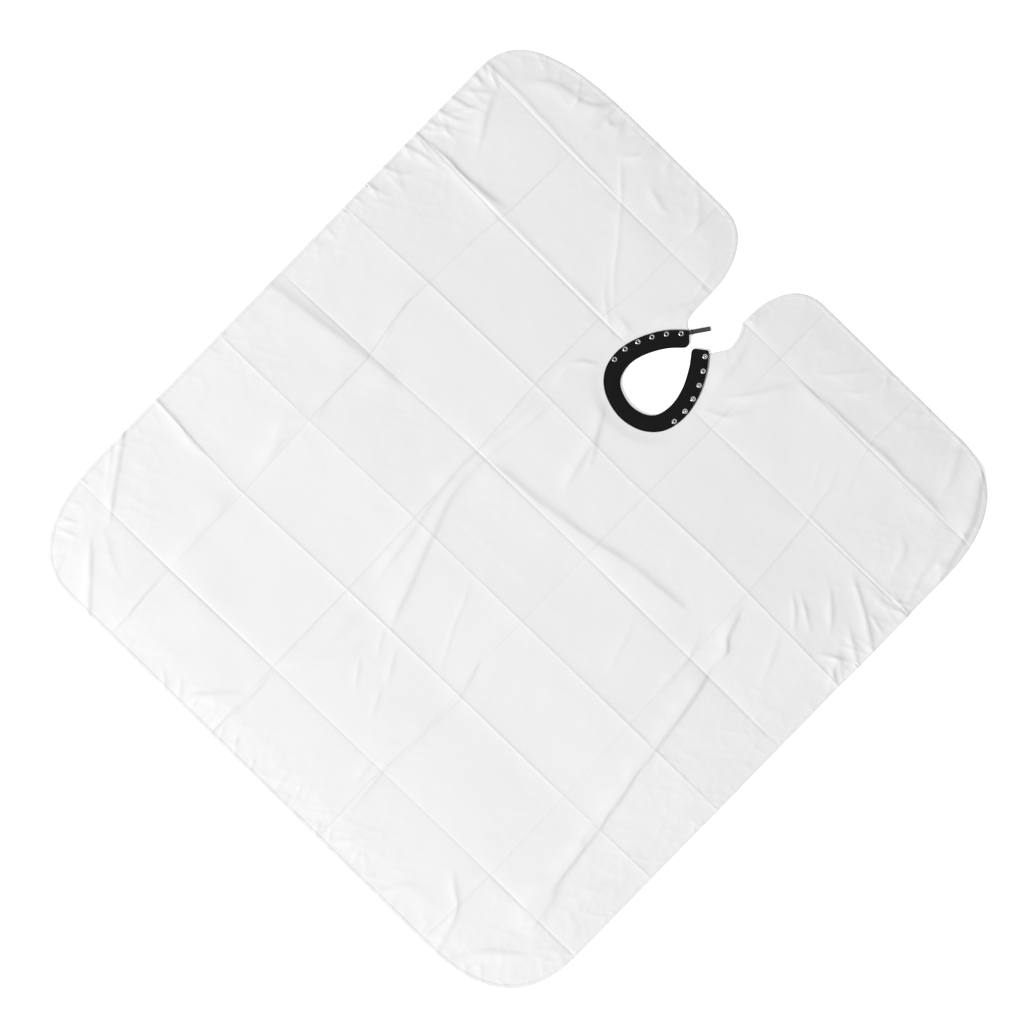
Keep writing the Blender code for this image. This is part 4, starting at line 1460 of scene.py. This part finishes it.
def collar_stations():
    """Stations along the collar: places, normals, half widths and how full the end is."""
    middle = collar_middle(0.0012)
    along = distances_along(middle)
    total = along[-1]
    close = np.array([0.00005, 0.0002, 0.0005, 0.0009, 0.0014, 0.002, 0.0028])
    between = along[(along > 0.0035) & (along < total - 0.0035)]
    places = np.concatenate([close, between, total - close[::-1]])
    line, normals = (
        np.column_stack([np.interp(places, along, values[:, axis]) for axis in range(2)])
        for values in (middle, left_normals(middle))
    )
    normals /= np.hypot(normals[:, 0], normals[:, 1])[:, None]
    width = collar_half_width(line[:, 1])
    from_end = np.minimum(places, total - places)
    sides = []
    for corner in range(2):
        radius = np.where(places < total / 2, LEFT_END_RADII[corner], RIGHT_END_RADII[corner])
        short = np.clip(radius - from_end, 0, radius)
        sides.append(width - radius + np.sqrt(radius ** 2 - short ** 2))
    outer, inner = sides
    # The rounded corners differ, so the middle of each section shifts with them
    line = line + normals * ((inner - outer) / 2)[:, None]
    width = (outer + inner) / 2
    full = np.clip(1 - (1 - np.clip(from_end / 0.0022, 0, 1)) ** 3, 0.03, 1) ** 0.5
    return places, line, normals, width, full


def edge_roll(across):
    """How much of its half thickness the collar keeps at a share of its half width."""
    return np.sqrt(np.clip(1 - np.abs(across) ** 6, 0, 1))


def middle_and_half(settings):
    """The height of the collar's middle, and half its thickness."""
    return (settings.low + settings.high) / 2, (settings.high - settings.low) / 2


def arm_parts(count):
    """The stations of each side of the collar, which share the one at the front."""
    return ("left", slice(0, count // 2 + 1)), ("right", slice(count // 2, None))


def collar_top(across, width, settings):
    """Height of the collar's top at a share of its half width, -1 to 1."""
    middle, half = middle_and_half(settings)
    round_edge = edge_roll(across)
    crown = 0.00045 * (1 - across ** 2)
    from_edge = (1 - np.abs(across)) * width
    groove = 0.00045 * np.exp(-((from_edge - settings.quilting_inset) / 0.0007) ** 2)
    return middle + half * round_edge + crown - groove


def painted_sheen_mark(mesh, values):
    # How much painted sheen lightens each vertex, as the 'middle' attribute
    attribute = mesh.attributes.new("middle", "FLOAT", "POINT")
    attribute.data.foreach_set("value", np.asarray(values, np.float32))


class CAPE_OT_collar(bpy.types.Operator):
    """Makes the padded collar, its binding and its stitches"""
    bl_idname = "cape.collar"
    bl_label = "Collar"

    def execute(self, context):
        settings = context.scene.cape_collar
        self.body(settings, jersey_material(settings))
        self.binding(settings)
        self.stitches(settings)
        return {"FINISHED"}

    def body(self, settings, jersey):
        places, line, normals, width, full = collar_stations()
        inner_share = np.concatenate([np.linspace(0, 0.7, 8), [0.78, 0.84, 0.89, 0.93, 0.96, 0.985]])
        share = np.concatenate([[-1.0], -inner_share[::-1][:-1], inner_share, [1.0]])
        body_width = width - INSIDE_BINDING
        across = share[None, :] * body_width[:, None]
        middle, half = middle_and_half(settings)
        top = collar_top(share[None, :], width[:, None], settings)
        bumps = 0.00012 * soft_noise(places[:, None] + 0 * across, across, 0.012, 31)
        top = middle + (top - middle + bumps * (1 - share[None, :] ** 8)) * full[:, None]
        low = middle - half * edge_roll(share)[None, :] * full[:, None]
        over = np.concatenate([across, across[:, -2:0:-1]], axis=1)
        height = np.concatenate([top, low[:, -2:0:-1]], axis=1)
        plan = line[:, None, :] + normals[:, None, :] * over[..., None]
        rings = np.concatenate([plan, height[..., None]], axis=2)
        # Across the section: over the top from edge to edge, then back underneath
        span = np.cumsum(np.hypot(np.diff(over, axis=1), np.diff(height, axis=1)), axis=1)
        span = np.concatenate([np.zeros((len(over), 1)), span], axis=1)
        uv = np.stack([np.repeat(places[:, None], over.shape[1], axis=1), span], axis=2)
        for side, part in arm_parts(len(places)):
            mesh = sleeve(f"collar_{side}", rings[part], jersey, uv[part])
            piece = add_object(f"collar_{side}", mesh)
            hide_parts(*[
                f"collar_{layer}_{place}"
                for layer in ("under_facing", "foam", "top_facing") for place in ("front", f"{side}_arm")
            ])
            bend_at_crease(piece)

    def binding(self, settings):
        material = tape_material("collar binding", (0.0040, 0.0040, 0.0042), 0.0011, 0.9, 1.6, 0.7)
        low = settings.low - 0.00015
        high = settings.high + 0.00025
        middle = (low + high) / 2
        wide = settings.quilting_inset + 0.0002
        # Distance in from the edge, and height: outside from top to bottom, then back inside
        section = [
            (wide, high - 0.0001), (wide - 0.0005, high + 0.0001), (wide * 0.5, high + 0.0001),
            (0.0006, high - 0.0004), (0.0, high - 0.0012), (-0.0002, middle), (0.0, low + 0.0011),
            (0.0006, low + 0.0004), (wide * 0.5, low), (wide - 0.0004, low), (wide, low + 0.0003),
            (wide * 0.6, low + 0.0009), (0.0012, middle), (wide * 0.6, high - 0.0008),
        ]
        _, line, normals, width, _ = collar_stations()
        outer = line - normals * width[:, None]
        inner = line + normals * width[:, None]
        half_way = len(line) // 2
        left_runs = [
            resampled(outer[7:half_way + 1], 0.0011), resampled(inner[7:half_way + 1][::-1], 0.0011),
        ]
        right_runs = [resampled(np.vstack([outer[half_way:], inner[half_way:][::-1]]), 0.0011)]
        for side, runs in (("left", left_runs), ("right", right_runs)):
            meshes = []
            for run in runs:
                rings = self.bound(run, section)
                uv = section_uv(run, section)
                mesh = sleeve(f"binding_{side}", rings, material, uv)
                # No painted sheen on the binding
                painted_sheen_mark(mesh, np.zeros(len(mesh.vertices)))
                meshes.append(mesh)
            piece = joined(f"binding_{side}", meshes)
            nodes = {
                "left": ["binding_left_outer", "binding_left_inner", "binding_front_outer"],
                "right": ["binding_right_arm", "binding_front_inner"],
            }[side]
            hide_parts(*nodes)
            bend_at_crease(piece)

    @staticmethod
    def bound(run, section):
        """The binding's rings along an edge; the collar is on the left of the run."""
        return swept_rings(run, section, lambda x, y: np.zeros(x.shape))

    def stitches(self, settings):
        thread = thread_material("black thread", (0.016, 0.016, 0.017))
        stitch = thread_stitch("collar stitch", settings.stitch_pitch * 0.72, 0.00019, thread)
        tree = stitch_tree()
        places, line, normals, width, _ = collar_stations()
        total = places[-1]
        for side, part in arm_parts(len(places)):
            points = []
            edges = []
            for sign in (-1, 1):
                sewn_width = width[part] - settings.quilting_inset
                inside_ends = np.minimum(places[part], total - places[part]) > SEWN_FROM_END
                run = line[part] + normals[part] * (sign * sewn_width)[:, None]
                share = sign * sewn_width / (width[part] - INSIDE_BINDING)
                height = collar_top(share, width[part], settings) + STITCH_RISE
                route = np.column_stack([run, height])[inside_ends]
                start = len(points)
                points.extend(route)
                edges.extend((start + i, start + i + 1) for i in range(len(route) - 1))
            # Across the end of the arm
            end = 0 if side == "left" else len(places) - 1
            step = 1 if side == "left" else -1
            near = end + step * int(np.argmax(np.minimum(places, total - places)[::step] > SEWN_FROM_END))
            reach = np.linspace(-0.86, 0.86, 24)
            cross = line[near] + normals[near] * (reach * width[near])[:, None]
            start = len(points)
            points.extend(np.column_stack([cross, collar_top(reach, width[near], settings) + STITCH_RISE]))
            edges.extend((start + i, start + i + 1) for i in range(len(reach) - 1))
            piece = grown(
                f"collar_stitches_{side}", points, edges, tree,
                {"Pitch": settings.stitch_pitch, "Stitch": stitch, "Thread": thread},
            )
            bend_at_crease(piece)
        bpy.data.objects.remove(stitch)


# ---------------------------------------------------------------- the snaps

MM = 0.001
# Radius and height above the seat, from a ring's hole outwards and from a stud's rim inwards
RING_PROFILE = [(radius * MM, height * MM) for radius, height in (
    (2.45, -0.3), (2.45, 0.25), (2.62, 0.52), (3.0, 0.72), (3.6, 0.84), (4.2, 0.82), (4.75, 0.66),
    (5.2, 0.38),
)]
STUD_PROFILE = [(radius * MM, height * MM) for radius, height in (
    (5.2, 0.34), (4.7, 0.47), (4.2, 0.42), (3.4, 0.38), (2.75, 0.40), (2.45, 0.50), (2.22, 0.85),
    (2.22, 1.25), (2.34, 1.55), (2.3, 1.72), (2.12, 1.86), (1.86, 1.88), (1.68, 1.74), (1.52, 0.9),
    (1.2, 0.35), (0.0, 0.25),
)]


def node_centre(name):
    low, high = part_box(name)
    return (low + high) / 2


class CAPE_OT_snaps(bpy.types.Operator):
    """Makes the rings and studs on the collar, and finishes the metal underneath"""
    bl_idname = "cape.snaps"
    bl_label = "Snaps"

    def execute(self, context):
        settings = context.scene.cape_snap
        seat = context.scene.cape_collar.high + 0.00045
        radius = settings.radius
        metal = metal_material(settings, "nickel plate", 1.0, 0.2)
        under = metal_material(settings, "nickel underside", 0.85, 0.32)
        wire = metal_material(settings, "spring wire", 0.7, 0.3)
        # Each template's last list marks the hollows that get painted shade
        ring = lathe("snap ring", RING_PROFILE + [
            (radius, 0.08 * MM), (radius - 0.1 * MM, -0.3 * MM),
        ], 40, metal, [(2.5 * MM, 0.4 * MM, 0.8)])
        stud = lathe("snap stud", [
            (0.0, -0.3 * MM), (radius - 0.1 * MM, -0.3 * MM), (radius, 0.05 * MM),
        ] + STUD_PROFILE, 40, metal, [(1.62 * MM, 1.6 * MM, 1.0), (2.6 * MM, 1.0 * MM, 0.75)])
        tree = snap_tree()
        for side, kind, template in (("left", "snap_ring_left", ring), ("right", "snap_stud", stud)):
            groups = {}
            for name in sorted(frame["nodes"]):
                if name.startswith(kind + "_"):
                    body = self.body_of(name)
                    groups.setdefault(body, []).append(name)
            for body, names in groups.items():
                points = [(*node_centre(name).xy, seat) for name in names]
                place = "arm" if body != "root" else "front"
                label = f"{kind}s_{side}_{place}"
                inputs = {"Snap": template, "Metal": metal, "Seed": len(names)}
                piece = grown(label, points, [], tree, inputs)
                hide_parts(*names)
                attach(piece, body)
        for name, node in frame["nodes"].items():
            if name.startswith(("snap_socket", "snap_ring_right")):
                self.finish(node, under)
            elif name.startswith("snap_spring"):
                self.finish(node, wire)
        for template in (ring, stud):
            bpy.data.objects.remove(template)
        return {"FINISHED"}

    @staticmethod
    def body_of(name):
        for body, names in frame["record"]["behaviour"]["bodies"].items():
            if name in names:
                return body
        raise RuntimeError(f"{name} is on no body")

    @staticmethod
    def finish(node, material):
        for slot in node.material_slots:
            slot.material = material


# ---------------------------------------------------------------- the hanging loop

class CAPE_OT_hanging_loop(bpy.types.Operator):
    """Makes the folded tape loop at the left arm's end, and its bar tack"""
    bl_idname = "cape.hanging_loop"
    bl_label = "Hanging loop"

    def execute(self, context):
        joint = JOINTS["hanging_loop_swing"]
        axis = Vector(joint["axis"])
        heading = np.array([-axis.y, axis.x])
        root = np.array(joint["pos_m"][:2])
        self.tape(root, heading, LOOP_LENGTH)
        self.bar_tack(root, heading)
        return {"FINISHED"}

    @staticmethod
    def level(along):
        """Height of the tape's middle: out of the collar, then sagging towards the surface."""
        return 0.0034 - 0.0011 * soft_step((along - 0.004) / 0.036)

    def tape(self, root, heading, length):
        material = tape_material("loop tape", (0.030, 0.030, 0.032), 0.00085, 0.0, 4.6, 0.62)
        side = np.array([-heading[1], heading[0]])
        gap = 0.00042
        ply = 0.00042
        start = -0.0065
        straight = np.linspace(start, length - 0.0012, 44)
        turn = np.linspace(-math.pi / 2, math.pi / 2, 9)[1:-1]
        tip = length - 0.0012
        puff = 0.00055 * np.sin(math.pi * np.clip((straight - 0.006) / (tip - 0.006), 0, 1))
        along = np.concatenate([straight, tip + 0.0009 * np.cos(turn), straight[::-1]])
        swing = (gap / 2 + ply / 2)
        rise = np.concatenate([
            -swing - puff * 0.2, swing * np.sin(turn), (swing + puff)[::-1],
        ])
        level = self.level(along) + rise
        # The tape's own normal in the plane of its fold
        path = np.column_stack([along, level])
        normal = left_normals(path)
        shares = np.array([-1.0, -0.97, -0.86, -0.55, 0.0, 0.55, 0.86, 0.97, 1.0])
        thick = ply * np.array([0.35, 0.95, 1.2, 0.92, 1.0, 0.92, 1.2, 0.95, 0.35]) / 2
        wide = 0.0090 / 2
        rings = []
        for (s, z), (n_s, n_z) in zip(path, normal):
            outside = [(s + n_s * t, z + n_z * t, share * wide) for share, t in zip(shares, thick)]
            back = [(s - n_s * t, z - n_z * t, share * wide) for share, t in zip(shares, thick)]
            ring = outside + back[::-1]
            rings.append([
                (*(root + heading * place + side * across), height) for place, height, across in ring
            ])
        rings = np.array(rings)
        around = np.concatenate([shares * wide, shares[::-1] * wide + 0.0095])
        distance = distances_along(path)
        uv = np.stack(np.meshgrid(distance, around, indexing="ij"), axis=2)
        mesh = sleeve("hanging_loop", rings, material, uv)
        # Painted sheen: lighter along the tape's middle, and more so towards its tip
        shine = np.exp(-(np.concatenate([shares, shares[::-1]]) / 0.5) ** 2)
        out = np.clip((along - 0.004) / 0.03, 0, 1)
        painted_sheen_mark(mesh, np.outer(0.35 + 0.65 * out, shine).ravel())
        piece = add_object("hanging_loop", mesh)
        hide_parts("hanging_loop_tape", "hanging_loop_tail")
        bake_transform(piece)

    def bar_tack(self, root, heading):
        """Close zigzag stitches across the tape, over and under it."""
        thread = thread_material("bar tack thread", (0.05, 0.05, 0.052))
        side = np.array([-heading[1], heading[0]])
        at = 0.0024
        wide = 0.0058
        turns = 22
        route = []
        for over in (1, -1):
            shares = np.linspace(-1, 1, turns) * over
            for number, share in enumerate(shares):
                along = at + (0.0011 if number % 2 else -0.0011)
                edge = abs(share) > 0.93
                height = self.level(along) + over * (0.0003 if edge else 0.00105)
                route.append((*(root + heading * along + side * share * wide), height))
        route = np.array(route + route[:1])
        fine = []
        for first, second in zip(route, route[1:]):
            for share in (0.0, 0.25, 0.5, 0.75):
                fine.append(first + (second - first) * share)
        fine = np.array(fine)
        sides = 6
        radius = 0.00023
        forward = np.gradient(fine, axis=0)
        forward /= np.linalg.norm(forward, axis=1)[:, None]
        up = np.array([0.0, 0.0, 1.0])
        across = np.cross(forward, up)
        across /= np.maximum(np.linalg.norm(across, axis=1), 1e-6)[:, None]
        lift = np.cross(across, forward)
        turn = np.arange(sides) * math.tau / sides
        rings = fine[:, None, :] + radius * (
            across[:, None, :] * np.cos(turn)[None, :, None]
            + lift[:, None, :] * np.sin(turn)[None, :, None]
        )
        piece = add_object("hanging_loop_tack", sleeve("hanging_loop_tack", rings, thread))
        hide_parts("hanging_loop_bar_tack")
        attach(piece, "hanging_loop")


# ---------------------------------------------------------------- the stage

FLOOR_REACH = 9.0
KEY_SIZE = (4.0, 2.8)
KEY_POWER = 3350.0
KEY_PLACE = (-3.2, -13.0, 9.4)
WALL_STRENGTH = 0.10
CEILING_STRENGTH = 0.84


def soft_light(name, size, power, location):
    """A rectangular light that faces the origin."""
    data = bpy.data.lights.new(name, "AREA")
    data.shape = "RECTANGLE"
    data.size, data.size_y = size
    data.energy = power
    lamp = add_object(name, data)
    lamp.location = location
    lamp.rotation_euler = (-Vector(location)).to_track_quat("-Z", "Y").to_euler()


class CAPE_OT_stage(bpy.types.Operator):
    """Makes the floor, the lights, the world and the camera"""
    bl_idname = "cape.stage"
    bl_label = "Stage"

    def execute(self, context):
        settings = context.scene.cape_stage
        scene = context.scene
        reach = FLOOR_REACH
        corners = [(-reach, -reach, 0), (reach, -reach, 0), (reach, reach, 0), (-reach, reach, 0)]
        sheet = new_mesh("studio_floor", corners, [(0, 1, 2, 3)], floor_material(), False)
        add_object("studio_floor", sheet)
        soft_light("key light", KEY_SIZE, KEY_POWER, KEY_PLACE)
        scene.world = scene.world or bpy.data.worlds.new("studio")
        self.white_ceiling(scene.world, WALL_STRENGTH, CEILING_STRENGTH)
        data = bpy.data.cameras.new("camera")
        data.lens = settings.focal_length
        data.clip_end = 50.0
        camera = add_object("camera", data)
        height = settings.view_width * settings.focal_length / data.sensor_width
        camera.location = (settings.centre[0], settings.centre[1], height)
        camera.rotation_euler = (0.0, 0.0, settings.roll)
        scene.camera = camera
        scene.view_settings.view_transform = "Standard"
        return {"FINISHED"}

    @staticmethod
    def white_ceiling(world, walls, overhead):
        """A studio with dim walls and a bright ceiling, which the metal mirrors."""
        world.use_nodes = True
        make = NodeMaker(world.node_tree)
        split = make.node("ShaderNodeSeparateXYZ")
        make.link(make.node("ShaderNodeTexCoord").outputs["Generated"], split.inputs[0])
        up = make.maths("POWER", make.maths("MAXIMUM", split.outputs[2], 0.0), 4.0)
        backdrop = world.node_tree.nodes["Background"]
        backdrop.inputs["Color"].default_value = (1.0, 1.0, 1.0, 1.0)
        make.link(make.scaled_range(up, 0.0, 1.0, walls, overhead), backdrop.inputs["Strength"])


class CAPE_PT_panel(bpy.types.Panel):
    """Lists the steps that build the cape"""
    bl_label = "Barber Cape"
    bl_space_type = "VIEW_3D"
    bl_region_type = "UI"
    bl_category = "Cape"

    def draw(self, context):
        scene = context.scene
        layout = self.layout
        for settings, steps in (
            (scene.cape_cloth, (CAPE_OT_cloth, CAPE_OT_hem)),
            (scene.cape_collar, (CAPE_OT_collar,)),
            (scene.cape_snap, (CAPE_OT_snaps, CAPE_OT_hanging_loop)),
            (scene.cape_stage, (CAPE_OT_stage,)),
        ):
            box = layout.box()
            for name in settings.bl_rna.properties.keys():
                if name not in ("rna_type", "name"):
                    box.prop(settings, name)
            for step in steps:
                box.operator(step.bl_idname)


SETTINGS = {
    "cape_cloth": CapeClothSettings,
    "cape_collar": CapeCollarSettings,
    "cape_snap": CapeSnapSettings,
    "cape_stage": CapeStageSettings,
}
STEPS = (
    CAPE_OT_stage, CAPE_OT_cloth, CAPE_OT_hem, CAPE_OT_collar, CAPE_OT_snaps, CAPE_OT_hanging_loop,
)


def register():
    for item in (*SETTINGS.values(), *STEPS, CAPE_PT_panel):
        bpy.utils.register_class(item)
    for name, group in SETTINGS.items():
        setattr(bpy.types.Scene, name, bpy.props.PointerProperty(type=group))


def unregister():
    for name in SETTINGS:
        delattr(bpy.types.Scene, name)
    for item in reversed((*SETTINGS.values(), *STEPS, CAPE_PT_panel)):
        bpy.utils.unregister_class(item)


def main():
    register()
    make_groups()
    bpy.ops.cape.stage()
    bpy.ops.cape.cloth()
    bpy.ops.cape.hem()
    bpy.ops.cape.collar()
    bpy.ops.cape.snaps()
    bpy.ops.cape.hanging_loop()


if __name__ == "__main__":
    main()
